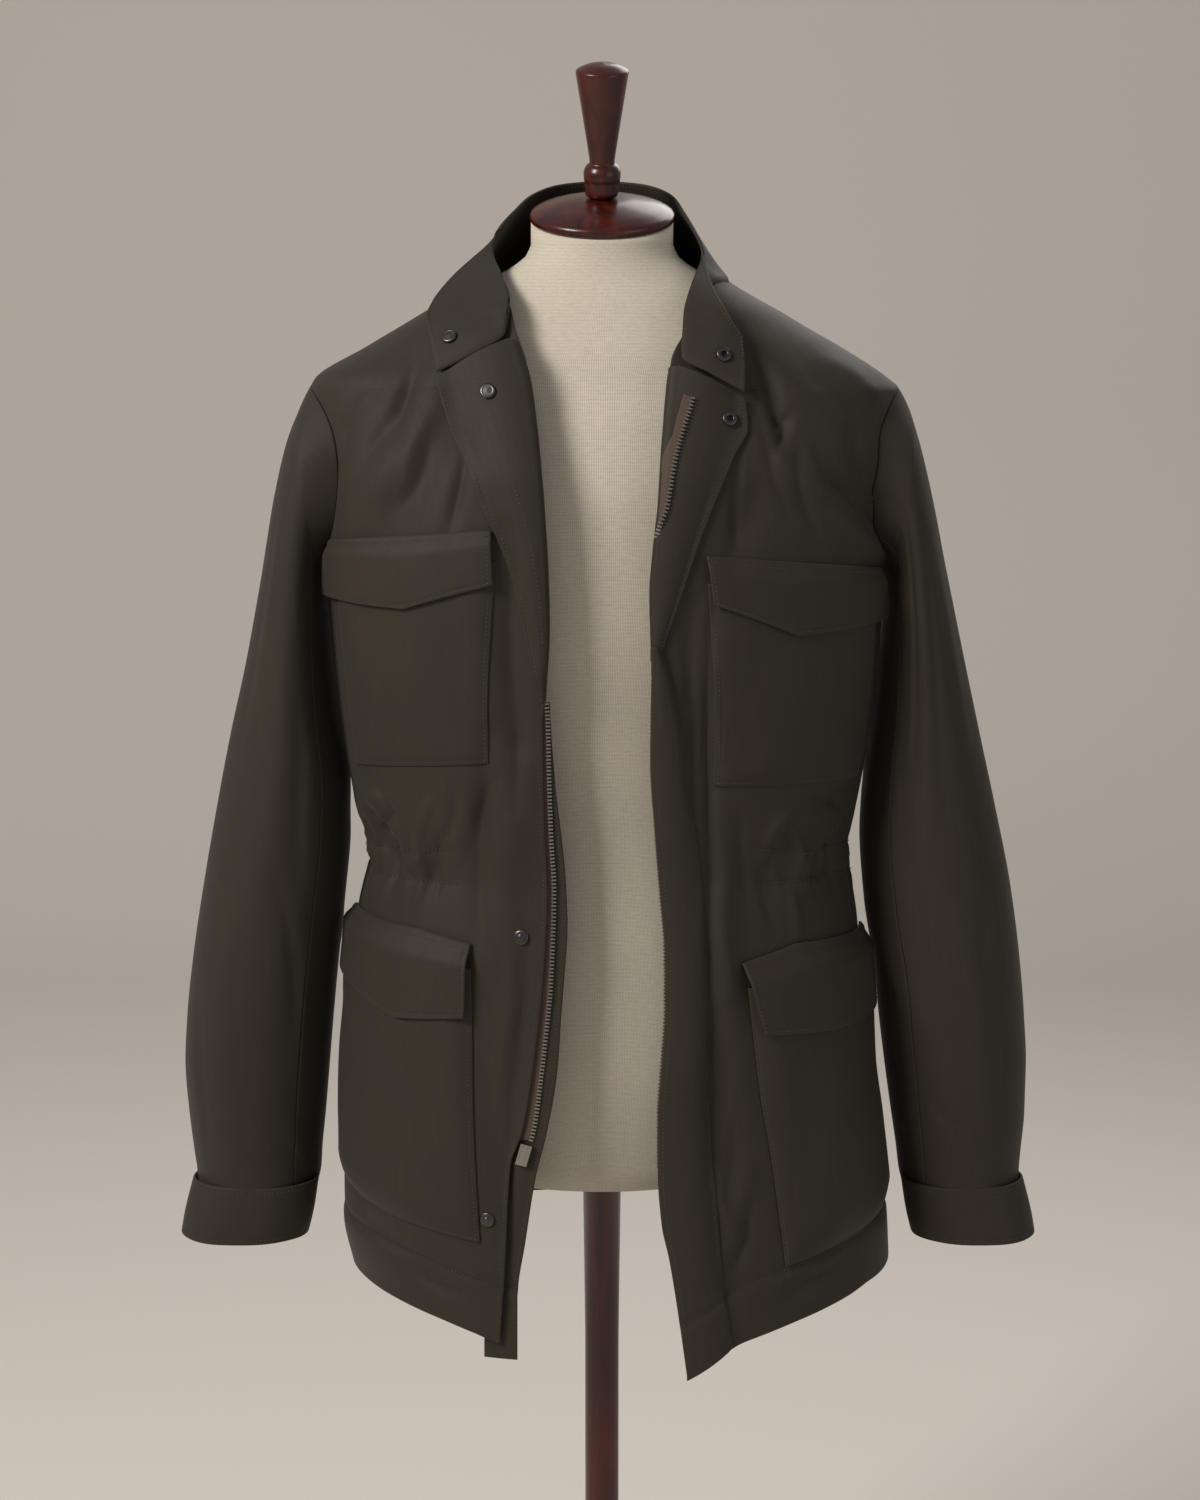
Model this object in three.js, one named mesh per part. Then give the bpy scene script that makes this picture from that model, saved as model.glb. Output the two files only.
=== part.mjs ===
// Field jacket, worn open by a limbless dress form on a pole and a round base.
// Millimetres, +Z up. The jacket faces -Y. The wearer's right side is on -X.
// Origin: the middle of the stand's base, on the floor.
import * as THREE from 'three';

// Driving dimensions
const SEAM = 0.2;            // half of the gap between two pieces at a seam
const WALL = 2;              // shell cloth and its facing behind it
const FOLDED_WALL = 2.4;     // two layers: collar, lapels, flaps, placket, cuffs
const LIFT = 0.8;            // air under a piece that lies on another
const LAPEL_SEAT_RIGHT = 1.4; // how far the lapels' edges stand off the fronts
const LAPEL_SEAT_LEFT = 1;
const LAPEL_LOFT = 6;        // and how much further the lapels rise between edge and roll
const PLACKET_UNDER = 5;     // the front's own edge is this far back under the placket
const TAPE_WIDTH = 11;       // zip tape beside the teeth, part of it under the front's edge
const PLACKET_RISE = 24;     // the placket's low end is this much higher at its sewn side
const CUFF_TOP = 731.6;
const CUFF_BOTTOM = 684;
const UNDERARM = 1231;       // lowest point of both armholes
const SHOULDER_TIP = 1371;   // highest point of both armholes
const ARMHOLE_FRONT = 72;    // how far each armhole reaches to the front
const ARMHOLE_BACK = 80;     // and to the back
const ARMHOLE_SQUARE = 2.3;
const HEM_ZONE = 770;        // below this the rows spread out to meet the hem's own line
const HEM_LEVEL = 664;
const NECK_POINT = 1452;     // where shoulder seam and collar meet

// Outline of the body by height: half widths, depth to front and back, squareness of the oval
const BODY = [
  { z: 664, right: 204, left: 235, front: 157, back: 138, square: 2.3 },
  { z: 700, right: 211, left: 233, front: 156, back: 138, square: 2.3 },
  { z: 786, right: 210, left: 224, front: 155, back: 134, square: 2.3 },
  { z: 837, right: 207, left: 215, front: 153, back: 130, square: 2.3 },
  { z: 904, right: 200, left: 209, front: 151, back: 122, square: 2.3 },
  { z: 950, right: 197, left: 205, front: 149, back: 115, square: 2.3 },
  { z: 975, right: 192, left: 201, front: 147, back: 110, square: 2.3 },
  { z: 1004, right: 184, left: 196, front: 145, back: 107, square: 2.3 },
  { z: 1045, right: 197, left: 204, front: 146, back: 112, square: 2.3 },
  { z: 1103, right: 206, left: 213, front: 148, back: 120, square: 2.35 },
  { z: 1167, right: 213, left: 219, front: 150, back: 128, square: 2.4 },
  { z: 1231, right: 218, left: 222, front: 150, back: 133, square: 2.4 },
  { z: 1300, right: 221, left: 226, front: 146, back: 134, square: 2.4 },
  { z: 1340, right: 224, left: 230, front: 132, back: 128, square: 2.35 },
  { z: 1366, right: 227, left: 232, front: 121, back: 118, square: 2.3 },
  { z: 1374, right: 224, left: 224, front: 118, back: 115, square: 2.3 },
  { z: 1400, right: 182, left: 184, front: 109, back: 107, square: 2.2 },
  { z: 1414, right: 158, left: 159, front: 103, back: 103, square: 2.2 },
  { z: 1427, right: 136, left: 137, front: 97, back: 99, square: 2.2 },
  { z: 1439, right: 115, left: 115, front: 90, back: 95, square: 2.2 },
  { z: 1452, right: 97, left: 95, front: 82, back: 91, square: 2.2 },
  { z: 1468, right: 90, left: 88, front: 80, back: 85, square: 2.2 },
];

// Inner edge of each front by height, as a distance from the middle. Below 1140 the right front
// ends at its zip tape. Above it, and above 1170 on the left, this is the line of the turn-back.
const RIGHT_EDGE = [
  { z: 640, x: 79 }, { z: 700, x: 75 }, { z: 781, x: 71 }, { z: 812, x: 60.5 }, { z: 852, x: 53.5 },
  { z: 887, x: 49 }, { z: 927, x: 44.6 }, { z: 998, x: 41 }, { z: 1037, x: 42.6 }, { z: 1091, x: 43.8 },
  { z: 1127, x: 44 }, { z: 1145, x: 42 }, { z: 1200, x: 40 }, { z: 1248, x: 41.7 }, { z: 1284, x: 44 },
  { z: 1321, x: 47 }, { z: 1359, x: 50.6 }, { z: 1391, x: 56 }, { z: 1413, x: 64 }, { z: 1432, x: 69 },
  { z: 1440, x: 75 }, { z: 1448, x: 86 }, { z: 1452, x: 94 },
];
const LEFT_EDGE = [
  { z: 617, x: 65 }, { z: 669, x: 57.8 }, { z: 713, x: 50.7 }, { z: 739, x: 45.2 }, { z: 782, x: 42 },
  { z: 821, x: 41.8 }, { z: 870, x: 44.7 }, { z: 905, x: 46.8 }, { z: 950, x: 46.6 }, { z: 994, x: 43.1 },
  { z: 1047, x: 38.8 }, { z: 1099, x: 35.6 }, { z: 1176, x: 36.3 }, { z: 1217, x: 36.2 },
  { z: 1248, x: 37.6 }, { z: 1284, x: 41.8 }, { z: 1340, x: 46 }, { z: 1367, x: 48 }, { z: 1392, x: 51 },
  { z: 1415, x: 63 }, { z: 1432, x: 73.5 }, { z: 1440, x: 78 }, { z: 1448, x: 86 }, { z: 1452, x: 92 },
];

// Hem of each side by angle round the body, 0 at the middle of the front and 90 at the side
const RIGHT_HEM = [
  { angle: 14, z: 637 }, { angle: 19, z: 640 }, { angle: 26, z: 647 }, { angle: 37, z: 655 },
  { angle: 54, z: 662 }, { angle: 70, z: 665 }, { angle: 90, z: 664 },
];
const LEFT_HEM = [
  { angle: 10, z: 613 }, { angle: 14, z: 617 }, { angle: 23, z: 638 }, { angle: 28, z: 643 },
  { angle: 38, z: 651 }, { angle: 54, z: 660 }, { angle: 64, z: 664 }, { angle: 90, z: 664 },
];

// Placket: the line of its stitching on the left front by height
const PLACKET_STITCH = [
  { z: 617, x: 104 }, { z: 663, x: 96.4 }, { z: 686, x: 93.5 }, { z: 747, x: 88.8 }, { z: 799, x: 84.3 },
  { z: 887, x: 80 }, { z: 940, x: 79 }, { z: 976, x: 76 }, { z: 1011, x: 74 }, { z: 1047, x: 69.4 },
  { z: 1073, x: 63.3 }, { z: 1120, x: 58 }, { z: 1160, x: 50 },
];

// Zip of the right front: its teeth by height, and the free edge of the strip under it
const ZIP_LINE = [
  { z: 781, x: 62.6 }, { z: 812, x: 53 }, { z: 852, x: 47.3 }, { z: 887, x: 43.3 }, { z: 927, x: 39.4 },
  { z: 998, x: 36.9 }, { z: 1037, x: 39 }, { z: 1091, x: 40.4 }, { z: 1127, x: 41 },
];
const UNDERLAP_EDGE = [
  { z: 626, x: 66.5 }, { z: 677, x: 66.3 }, { z: 721, x: 60 }, { z: 774, x: 51.4 }, { z: 808, x: 43 },
  { z: 859, x: 34.3 }, { z: 903, x: 31.2 }, { z: 943, x: 28 }, { z: 970, x: 26.4 }, { z: 1006, x: 27.9 },
  { z: 1037, x: 30.8 }, { z: 1076, x: 35.2 }, { z: 1120, x: 38.8 },
];

// Turned-back part of each front, from the collar seam down: its roll line and its free edge
const RIGHT_LAPEL = [
  { rollX: 63, rollZ: 1407.5, edgeX: 122, edgeZ: 1377.5 },
  { rollX: 54.5, rollZ: 1380, edgeX: 112, edgeZ: 1342 },
  { rollX: 49.5, rollZ: 1345, edgeX: 98, edgeZ: 1311 },
  { rollX: 46, rollZ: 1310, edgeX: 87, edgeZ: 1284 },
  { rollX: 43.5, rollZ: 1275, edgeX: 76, edgeZ: 1260 },
  { rollX: 41.5, rollZ: 1235, edgeX: 62.5, edgeZ: 1218 },
  { rollX: 40.5, rollZ: 1190, edgeX: 55, edgeZ: 1182 },
  { rollX: 43, rollZ: 1142, edgeX: 47, edgeZ: 1140 },
];
const LEFT_LAPEL = [
  { rollX: 51, rollZ: 1388.5, edgeX: 105, edgeZ: 1363 },
  { rollX: 48.5, rollZ: 1367, edgeX: 106.5, edgeZ: 1341 },
  { rollX: 46.5, rollZ: 1343, edgeX: 97, edgeZ: 1322 },
  { rollX: 44.5, rollZ: 1318, edgeX: 88, edgeZ: 1302 },
  { rollX: 43, rollZ: 1290, edgeX: 80, edgeZ: 1283 },
  { rollX: 40, rollZ: 1262, edgeX: 69.5, edgeZ: 1255 },
  { rollX: 37, rollZ: 1225, edgeX: 57, edgeZ: 1217 },
  { rollX: 37, rollZ: 1195, edgeX: 47.5, edgeZ: 1190 },
  { rollX: 37, rollZ: 1172, edgeX: 41, edgeZ: 1170 },
];

// Collar from the middle of the back to its front end: seam, pull of the roll, free top edge
const RIGHT_COLLAR = [
  { seam: [0, 86, 1465.2], crest: [0, 80, 1498], top: [0, 66, 1528] },
  { seam: [38, 80.5, 1465.2], crest: [37, 70, 1496], top: [33, 54, 1524] },
  { seam: [69, 62, 1462.5], crest: [65, 48, 1488], top: [54, 30, 1515] },
  { seam: [89, 34, 1455.5], crest: [81, 20, 1476], top: [66, 8, 1503] },
  { seam: [98, -1, 1450.5], crest: [86, -8, 1467], top: [77, -8, 1491] },
  { seam: [92, -34, 1451], crest: [75, -36, 1465], top: [88, -14, 1478] },
  { seam: [80, -60, 1446.5], crest: [65, -62, 1457], top: [100, -24, 1467] },
  { seam: [69, -84, 1433], crest: [64, -84, 1446], top: [111, -34, 1457] },
  { seam: [72, -102, 1413], crest: [79, -94, 1430], top: [120, -46, 1447] },
  { seam: [96, -108, 1398], crest: [105, -100, 1414], top: [127, -60, 1437] },
  { seam: [123, -109, 1385], crest: [127, -98, 1402], top: [132, -74, 1426] },
];
const LEFT_COLLAR = [
  { seam: [0, 86, 1465.2], crest: [0, 80, 1498], top: [0, 66, 1528] },
  { seam: [38, 80.5, 1465.2], crest: [37, 70, 1496], top: [33, 54, 1524] },
  { seam: [67, 62, 1462.5], crest: [63, 48, 1488], top: [53, 30, 1515] },
  { seam: [87, 34, 1455.5], crest: [78, 20, 1476], top: [62, 7, 1501] },
  { seam: [96, -1, 1450.5], crest: [82, -8, 1466], top: [70, -12, 1486] },
  { seam: [90, -34, 1450.6], crest: [70, -38, 1462], top: [77, -30, 1471] },
  { seam: [75, -62, 1443], crest: [60, -66, 1453], top: [80, -50, 1457] },
  { seam: [61, -92, 1424], crest: [57, -92, 1434], top: [84, -72, 1444] },
  { seam: [58, -114, 1398], crest: [68, -110, 1410], top: [91, -92, 1430] },
  { seam: [80, -120, 1384.5], crest: [87, -116, 1399], top: [98, -100, 1418] },
  { seam: [105, -122, 1371], crest: [106, -117, 1388], top: [104, -102, 1409] },
];

// Sleeves from the shoulder down: outer and inner line of the tube, its depth to front and back
const RIGHT_SLEEVE = [
  { outX: 234, outZ: 1354, inX: 219.5, inZ: 1217, front: -75, back: 82 },
  { outX: 244, outZ: 1330, inX: 220, inZ: 1200, front: -75, back: 82 },
  { outX: 256, outZ: 1283, inX: 218.5, inZ: 1176, front: -75, back: 80 },
  { outX: 267, outZ: 1222, inX: 216, inZ: 1145, front: -74, back: 77 },
  { outX: 281, outZ: 1153, inX: 210.5, inZ: 1100, front: -73, back: 73 },
  { outX: 294, outZ: 1100, inX: 203.5, inZ: 1058, front: -73, back: 69 },
  { outX: 306, outZ: 1045, inX: 202.5, inZ: 1015, front: -74, back: 65 },
  { outX: 320, outZ: 974, inX: 208, inZ: 957, front: -74, back: 59 },
  { outX: 330, outZ: 915, inX: 214, inZ: 905, front: -73, back: 52 },
  { outX: 336, outZ: 868, inX: 218.5, inZ: 862, front: -71, back: 45 },
  { outX: 339, outZ: 823, inX: 222.5, inZ: 820, front: -68, back: 37 },
  { outX: 337, outZ: 785, inX: 226, inZ: 783, front: -63, back: 30 },
  { outX: 334, outZ: 752, inX: 229.5, inZ: 751, front: -57, back: 24 },
  { outX: 332, outZ: 732, inX: 231, inZ: 732, front: -54, back: 22 },
];
const LEFT_SLEEVE = [
  { outX: 239, outZ: 1350, inX: 225.5, inZ: 1217, front: -75, back: 82 },
  { outX: 247, outZ: 1325, inX: 226, inZ: 1200, front: -75, back: 82 },
  { outX: 258, outZ: 1282, inX: 225, inZ: 1176, front: -75, back: 80 },
  { outX: 271, outZ: 1222, inX: 222, inZ: 1145, front: -74, back: 77 },
  { outX: 286, outZ: 1155, inX: 217.5, inZ: 1100, front: -73, back: 73 },
  { outX: 299, outZ: 1100, inX: 211.5, inZ: 1058, front: -73, back: 69 },
  { outX: 313, outZ: 1042, inX: 207.5, inZ: 1015, front: -74, back: 65 },
  { outX: 328, outZ: 974, inX: 212, inZ: 957, front: -74, back: 59 },
  { outX: 337, outZ: 915, inX: 221, inZ: 905, front: -73, back: 52 },
  { outX: 342, outZ: 868, inX: 225.5, inZ: 862, front: -71, back: 45 },
  { outX: 345, outZ: 823, inX: 231, inZ: 820, front: -68, back: 37 },
  { outX: 345, outZ: 785, inX: 236.5, inZ: 783, front: -63, back: 30 },
  { outX: 343, outZ: 752, inX: 241.5, inZ: 751, front: -57, back: 24 },
  { outX: 342, outZ: 732, inX: 244, inZ: 732, front: -54, back: 22 },
];
const SLEEVE_SQUARE = 2.15;
const CUFF_KICK = 11;        // the cuffs swing outward by this much over their height
const TOP_SLEEVE = [-103, 129];  // the top sleeve's two seams, in degrees from its outer line

// Folds of the fronts and back. Ends by place, half width, and height, negative for a trough
const FRONT_FOLDS = [
  { x1: -112, z1: 1392, x2: -186, z2: 1262, wide: 13, high: 5 },
  { x1: -96, z1: 1340, x2: -140, z2: 1282, wide: 15, high: -3 },
  { x1: -150, z1: 1402, x2: -205, z2: 1310, wide: 12, high: -3 },
  { x1: -72, z1: 1266, x2: -66, z2: 1110, wide: 10, high: -5 },
  { x1: -60, z1: 1090, x2: -84, z2: 940, wide: 12, high: 3 },
  { x1: -88, z1: 1070, x2: -100, z2: 1020, wide: 9, high: -3 },
  { x1: -90, z1: 905, x2: -74, z2: 720, wide: 11, high: -3 },
  { x1: -186, z1: 718, x2: -126, z2: 686, wide: 9, high: -2.5 },
  { x1: 106, z1: 1352, x2: 176, z2: 1270, wide: 12, high: 5 },
  { x1: 172, z1: 1276, x2: 218, z2: 1238, wide: 8, high: 6 },
  { x1: 120, z1: 1400, x2: 205, z2: 1318, wide: 13, high: 4 },
  { x1: 118, z1: 1306, x2: 96, z2: 1246, wide: 12, high: -4 },
  { x1: 140, z1: 1384, x2: 196, z2: 1350, wide: 11, high: -3 },
  { x1: 68, z1: 1216, x2: 75, z2: 1010, wide: 9, high: -5 },
  { x1: 92, z1: 900, x2: 102, z2: 680, wide: 10, high: -5 },
  { x1: 110, z1: 780, x2: 96, z2: 706, wide: 8, high: 4 },
  { x1: 190, z1: 700, x2: 140, z2: 668, wide: 9, high: -3 },
];
const BACK_FOLDS = [
  { x1: -200, z1: 1290, x2: -120, z2: 1180, wide: 15, high: 4 },
  { x1: 196, z1: 1276, x2: 128, z2: 1166, wide: 14, high: 4 },
  { x1: -150, z1: 1330, x2: -160, z2: 1130, wide: 13, high: -3 },
  { x1: 160, z1: 1340, x2: 150, z2: 1120, wide: 13, high: -3 },
  { x1: -30, z1: 1100, x2: -55, z2: 1030, wide: 12, high: 3 },
  { x1: 60, z1: 950, x2: 84, z2: 720, wide: 16, high: 4 },
  { x1: -90, z1: 960, x2: -104, z2: 730, wide: 15, high: 4 },
  { x1: -10, z1: 940, x2: 6, z2: 690, wide: 16, high: -4 },
];
// Gathers over the waist cord, between these angles on the fronts and all over the back
const WAIST = 1004;
const WAIST_CASING = 26;
const GATHER_HIGH = 2.2;
const GATHER_STEP = 24;      // degrees from one gather to the next
const GATHER_FROM = 32;

// Height of the panel rows, and how many columns each panel has
const PANEL_ROWS = [
  664, 690, 716, 743, 770, 803, 836, 869, 900, 930, 956, 979, 998, 1014, 1034, 1062, 1095, 1130, 1165, 1198,
  1231,
];
const ARMHOLE_STEPS = 7;
const SHOULDER_ROWS = [1380, 1393, 1408, 1423, 1437, 1448.5];
const BACK_NECK_ROWS = [1452, 1459, 1464];
const FRONT_COLUMNS = 12;
const BACK_COLUMNS = 22;
const SLEEVE_SIDES = 20;
const COLLAR_SECTIONS = 32;

// Chest and lower pockets with their flaps: corners as [angle, height]
const POCKETS = {
  chest_pocket_right: {
    side: -1, columns: 8, rows: 6, puff: 1.2,
    topIn: [17, 1246], topOut: [66, 1236], lowIn: [21, 1094], lowOut: [67, 1081],
  },
  chest_pocket_left: {
    side: 1, columns: 8, rows: 6, puff: 1.2,
    topIn: [16.5, 1230], topOut: [70, 1212], lowIn: [20.2, 1077], lowOut: [70.5, 1070],
  },
  lower_pocket_right: {
    side: -1, columns: 8, rows: 7, puff: 4.5,
    topIn: [27, 936], topOut: [87, 938], lowIn: [23.2, 721], lowOut: [86, 746],
  },
  lower_pocket_left: {
    side: 1, columns: 8, rows: 7, puff: 4.5,
    topIn: [29, 920], topOut: [87, 922], lowIn: [34.4, 697], lowOut: [86, 722],
  },
};
const FLAPS = {
  chest_flap_right: {
    side: -1, over: 1.6,
    top: [[17.6, 1269], [36.4, 1263.5], [68, 1255]], low: [[17.4, 1229], [38, 1209], [75, 1212]],
  },
  chest_flap_left: {
    side: 1, over: 1.6,
    top: [[16, 1250], [34.6, 1244], [70, 1233]], low: [[17.4, 1214.5], [36.6, 1189], [77, 1194]],
  },
  lower_flap_right: {
    side: -1, over: 5,
    top: [[27, 955], [42, 962], [82, 961]], low: [[27.3, 898.5], [46.6, 891], [88, 916]],
  },
  lower_flap_left: {
    side: 1, over: 5,
    top: [[27.5, 940], [43, 950], [86, 943]], low: [[31.5, 884], [53, 878], [87, 876]],
  },
};
const FLAP_COLUMNS = 4;      // on each side of the flap's point
const FLAP_RISE = [0, 0.14, 0.3, 0.6, 1];

// Snap fasteners
const CAP_RADIUS = 5.8;
const CAP_HEIGHT = 1.6;
const RING_RADIUS = 5.6;
const RING_BORE = 2.2;
const STUD_HEIGHT = 2.6;

// Dress form and stand
const FORM = [
  { z: 742, half: 118, front: 92, back: 92 }, { z: 760, half: 138, front: 102, back: 104 },
  { z: 850, half: 158, front: 112, back: 112 }, { z: 930, half: 150, front: 110, back: 100 },
  { z: 1020, half: 136, front: 106, back: 84 }, { z: 1100, half: 150, front: 112, back: 92 },
  { z: 1200, half: 172, front: 120, back: 104 }, { z: 1280, half: 188, front: 118, back: 108 },
  { z: 1340, half: 196, front: 104, back: 104 }, { z: 1374, half: 206, front: 90, back: 96 },
  { z: 1388, half: 194, front: 86, back: 92 }, { z: 1400, half: 176.4, front: 82, back: 88 },
  { z: 1414, half: 152.6, front: 76, back: 82 }, { z: 1427, half: 130.8, front: 71, back: 76 },
  { z: 1439, half: 109.6, front: 66, back: 70 }, { z: 1450, half: 88, front: 60, back: 63 },
  { z: 1460, half: 70, front: 57, back: 58 }, { z: 1469, half: 58.5, front: 55.5, back: 56 },
  { z: 1477, half: 55, front: 55, back: 55 },
];
const FORM_SQUARE = 2.15;
const FORM_SIDES = 22;
const NECK_RADIUS = 55;
const CAP_TILT = 16;         // the neck plate leans forward, in degrees
const NECK_TOP = 1477;
const POLE_RADIUS = 14;
const BASE_RADIUS = 190;
const BASE_HEIGHT = 24;
const TURNED_SIDES = 20;

const CLOTH = new THREE.MeshStandardMaterial({ color: 0x3b342a, roughness: 0.78, metalness: 0 });
const TAPE = new THREE.MeshStandardMaterial({ color: 0x4a3121, roughness: 0.8, metalness: 0 });
const NICKEL = new THREE.MeshStandardMaterial({ color: 0x55565a, roughness: 0.3, metalness: 1 });
const LINEN = new THREE.MeshStandardMaterial({ color: 0xc3b6a1, roughness: 0.9, metalness: 0 });
const MAHOGANY = new THREE.MeshStandardMaterial({ color: 0x3f130c, roughness: 0.22, metalness: 0 });

const jacket = new THREE.Group();

function addPiece(name, geometry, material) {
  const mesh = new THREE.Mesh(geometry, material);
  mesh.name = name;
  jacket.add(mesh);
}

const radians = (degrees) => THREE.MathUtils.degToRad(degrees);
const mix = (a, b, t) => a + (b - a) * t;
const lengthwise = (steps) => Array.from({ length: steps + 1 }, (_, i) => i / steps);

// Value of one column of a table at any place along its key column, with no overshoot
function along(table, column, at, key = 'z') {
  const last = table.length - 1;
  if (at <= table[0][key]) return table[0][column];
  if (at >= table[last][key]) return table[last][column];
  let k = 0;
  while (table[k + 1][key] < at) k += 1;
  const rise = (i) => (table[i + 1][column] - table[i][column]) / (table[i + 1][key] - table[i][key]);
  const slope = (i) => {
    if (i === 0) return rise(0);
    if (i === last) return rise(last - 1);
    const before = rise(i - 1);
    const after = rise(i);
    return before * after <= 0 ? 0 : (2 * before * after) / (before + after);
  };
  const span = table[k + 1][key] - table[k][key];
  const t = (at - table[k][key]) / span;
  return (2 * t ** 3 - 3 * t * t + 1) * table[k][column] + (t ** 3 - 2 * t * t + t) * span * slope(k)
    + (3 * t * t - 2 * t ** 3) * table[k + 1][column] + (t ** 3 - t * t) * span * slope(k + 1);
}

// Point of the body's plain outline. Angle 0 is the middle of the front, +90 the left side
function outlinePoint(angle, z) {
  const sine = Math.sin(radians(angle));
  const cosine = Math.cos(radians(angle));
  const power = 2 / along(BODY, 'square', z);
  const half = along(BODY, sine < 0 ? 'right' : 'left', z);
  const depth = along(BODY, cosine < 0 ? 'back' : 'front', z);
  return new THREE.Vector3(
    Math.sign(sine) * half * Math.abs(sine) ** power,
    -Math.sign(cosine) * depth * Math.abs(cosine) ** power,
    z,
  );
}

function outwardAt(angle, z) {
  const step = 1.5;
  const round = outlinePoint(angle + step, z).sub(outlinePoint(angle - step, z));
  const up = outlinePoint(angle, z + 3).sub(outlinePoint(angle, z - 3));
  return round.cross(up).normalize();
}

// Height of all folds at a place: a soft hump across each fold, fading at its two ends
function foldHeight(folds, x, z) {
  let height = 0;
  for (const fold of folds) {
    const dx = fold.x2 - fold.x1;
    const dz = fold.z2 - fold.z1;
    const t = ((x - fold.x1) * dx + (z - fold.z1) * dz) / (dx * dx + dz * dz);
    const near = THREE.MathUtils.clamp(t, 0, 1);
    const away = Math.hypot(x - fold.x1 - near * dx, z - fold.z1 - near * dz);
    const fade = Math.sin(Math.PI * mix(0.12, 0.88, near));
    height += fold.high * fade * Math.exp(-((away / fold.wide) ** 2));
  }
  return height;
}

function gatherHeight(angle, z) {
  const round = Math.abs(angle > 180 ? angle - 360 : angle);
  const start = THREE.MathUtils.smoothstep(round, GATHER_FROM, GATHER_FROM + 12);
  const band = Math.exp(-(((z - WAIST) / WAIST_CASING) ** 2));
  return GATHER_HIGH * start * band * Math.cos((2 * Math.PI * angle) / GATHER_STEP);
}

// Point of the cloth itself, moved out from its outer face
function clothPoint(angle, z, out = 0) {
  const point = outlinePoint(angle, z);
  const folds = Math.cos(radians(angle)) > 0 ? FRONT_FOLDS : BACK_FOLDS;
  const side = Math.abs(Math.cos(radians(angle)));
  const calm = THREE.MathUtils.smoothstep(side, 0, 0.2);
  const height = calm * (foldHeight(folds, point.x, z) + gatherHeight(angle, z));
  return point.addScaledVector(outwardAt(angle, z), height + out);
}

// Angle of a place on the front or back, by its distance from the middle
function angleOfX(side, x, z) {
  const half = along(BODY, side < 0 ? 'right' : 'left', z);
  const square = along(BODY, 'square', z);
  return THREE.MathUtils.radToDeg(Math.asin(Math.min(1, (x / half) ** (square / 2))));
}

// Angle of a place near the side, by its depth in front of the side seam or behind it
function angleOfDepth(y, z, depthColumn) {
  const square = along(BODY, 'square', z);
  const cosine = (Math.max(y, SEAM) / along(BODY, depthColumn, z)) ** (square / 2);
  return THREE.MathUtils.radToDeg(Math.acos(cosine));
}

function armholeDepth(z, reach) {
  const t = (2 * z - UNDERARM - SHOULDER_TIP) / (SHOULDER_TIP - UNDERARM);
  if (Math.abs(t) >= 1) return SEAM;
  return Math.max(SEAM, reach * (1 - Math.abs(t) ** ARMHOLE_SQUARE) ** (1 / ARMHOLE_SQUARE));
}

const armholeRows = lengthwise(ARMHOLE_STEPS).slice(1).map(
  (t) => mix(UNDERARM, SHOULDER_TIP, 0.5 - 0.5 * Math.cos(Math.PI * t)),
);

// Row heights run level down to the hem zone, then spread so that the last one is the hem
function rowHeight(level, hem) {
  if (level >= HEM_ZONE) return level;
  return HEM_ZONE - ((HEM_ZONE - level) * (HEM_ZONE - hem)) / (HEM_ZONE - HEM_LEVEL);
}

// Closed wall between an outer and an inner grid of points, which may close on itself sideways
function wallGeometry(outer, inner, wraps = false) {
  const rows = outer.length;
  const columns = outer[0].length;
  const points = [...outer.flat(), ...inner.flat()];
  const offset = rows * columns;
  const at = (i, j, layer) => layer * offset + i * columns + (j % columns);
  const faces = [];
  const quad = (a, b, c, d) => faces.push(a, b, c, a, c, d);
  const span = wraps ? columns : columns - 1;
  for (let i = 0; i < rows - 1; i += 1) {
    for (let j = 0; j < span; j += 1) {
      quad(at(i, j, 0), at(i, j + 1, 0), at(i + 1, j + 1, 0), at(i + 1, j, 0));
      quad(at(i, j, 1), at(i + 1, j, 1), at(i + 1, j + 1, 1), at(i, j + 1, 1));
    }
  }
  for (let j = 0; j < span; j += 1) {
    quad(at(0, j, 0), at(0, j, 1), at(0, j + 1, 1), at(0, j + 1, 0));
    quad(at(rows - 1, j, 0), at(rows - 1, j + 1, 0), at(rows - 1, j + 1, 1), at(rows - 1, j, 1));
  }
  if (!wraps) {
    for (let i = 0; i < rows - 1; i += 1) {
      quad(at(i, 0, 0), at(i + 1, 0, 0), at(i + 1, 0, 1), at(i, 0, 1));
      const j = columns - 1;
      quad(at(i, j, 0), at(i, j, 1), at(i + 1, j, 1), at(i + 1, j, 0));
    }
  }
  return closedGeometry(points, faces);
}

// Geometry of points and faces, turned so that its faces point out
function closedGeometry(points, faces) {
  let volume = 0;
  for (let k = 0; k < faces.length; k += 3) {
    const [a, b, c] = [points[faces[k]], points[faces[k + 1]], points[faces[k + 2]]];
    volume += a.dot(b.clone().cross(c));
  }
  if (volume < 0) faces.reverse();
  const geometry = new THREE.BufferGeometry().setFromPoints(points);
  geometry.setIndex(faces);
  geometry.computeVertexNormals();
  return geometry;
}

// Wall on a surface: a function of row and column that takes how far out the point lies
function wallOn(rows, columns, pointAt, thickness, out = 0) {
  const layer = (height) => rows.map((row) => columns.map((column) => pointAt(row, column, height)));
  return wallGeometry(layer(out + thickness), layer(out));
}

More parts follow.
